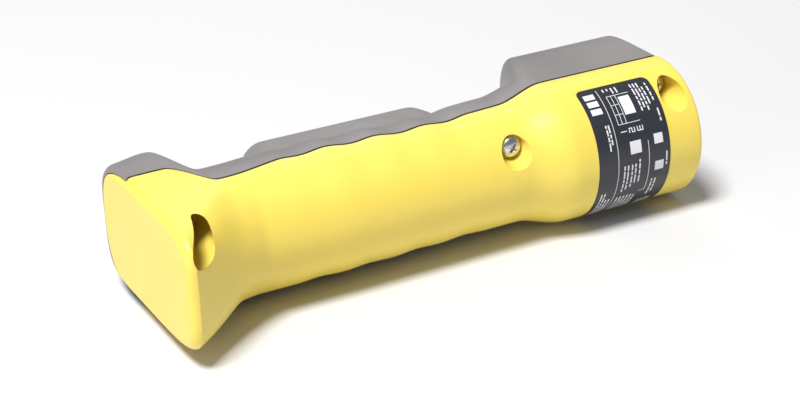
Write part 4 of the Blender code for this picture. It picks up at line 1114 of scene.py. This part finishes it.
def dress_frame():
    """Give every CAD piece that is kept its material."""
    dress = {
        "cover_seal": SEAL_AND_GAP_SHADE, "button_core": CORE_PLASTIC, "switch_block": DARK_PLASTIC,
        "switch_plunger": PALE_PLASTIC, "switch_tray": TRAY_PLASTIC, "tray_screw": ZINC,
        "thread_insert": BRASS, "terminal_strip": GREEN_PLASTIC, "terminal_screw": ZINC,
    }
    for name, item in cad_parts.items():
        for start, material in dress.items():
            if name.startswith(start):
                item.data.materials.clear()
                item.data.materials.append(material)


# Studio

def floor_material():
    """Matt floor finish with a barely uneven tone."""
    material, tree, shader, source = node_material("floor_looks")
    darker = tuple(part * FLOOR_TONE_SHARE for part in FLOOR_COLOUR)
    add_tone(tree, shader, noise(tree, source, FLOOR_TONE_SCALE), TONE_POSITIONS, darker, FLOOR_COLOUR)
    shader.inputs["Roughness"].default_value = FLOOR_ROUGHNESS
    return material


def add_area_light(name, location, diameter, power):
    """Large soft light aimed at the grip."""
    light = bpy.data.lights.new(name, "AREA")
    light.shape = "DISK"
    light.size = diameter
    light.energy = power
    item = bpy.data.objects.new(name, light)
    item.location = location
    aim = Vector(LIGHT_TARGET) - Vector(location)
    item.rotation_euler = aim.to_track_quat("-Z", "Y").to_euler()
    bpy.context.scene.collection.objects.link(item)


def make_studio():
    """Pale floor, three soft lights and a pale surround."""
    floor_data = bmesh.new()
    bmesh.ops.create_grid(floor_data, x_segments=1, y_segments=1, size=FLOOR_REACH)
    floor = add_object("floor", floor_data, floor_material())
    floor.location.z = -FLOOR_DROP
    for name, location, diameter, power in LIGHTS:
        add_area_light(name, location, diameter, power)
    world = bpy.data.worlds.new("surround")
    world.use_nodes = True
    background = world.node_tree.nodes["Background"]
    background.inputs["Color"].default_value = SURROUND_COLOUR
    background.inputs["Strength"].default_value = SURROUND_STRENGTH
    bpy.context.scene.world = world
    bpy.context.scene.view_settings.view_transform = "Standard"


def make_camera():
    """Camera at the photograph's angle and distance."""
    data = bpy.data.cameras.new("camera")
    data.sensor_width = SENSOR_WIDTH
    data.lens = FOCAL_PIXELS * SENSOR_WIDTH / IMAGE_WIDTH
    data.clip_start = CLIP_START
    camera = bpy.data.objects.new("camera", data)
    back = CAMERA_BACK.normalized()
    right = (CAMERA_RIGHT - back * CAMERA_RIGHT.dot(back)).normalized()
    up = back.cross(right)
    turn = Matrix((right, up, back)).transposed()
    camera.matrix_world = Matrix.Translation(CAMERA_PLACE) @ turn.to_4x4()
    bpy.context.scene.collection.objects.link(camera)
    bpy.context.scene.camera = camera


make_rear_cover()
make_front_cover()
make_button()
make_screws()
make_label()
make_print()
make_shade_strips()
make_entry_thread()
make_springs()
dress_frame()
make_studio()
make_camera()
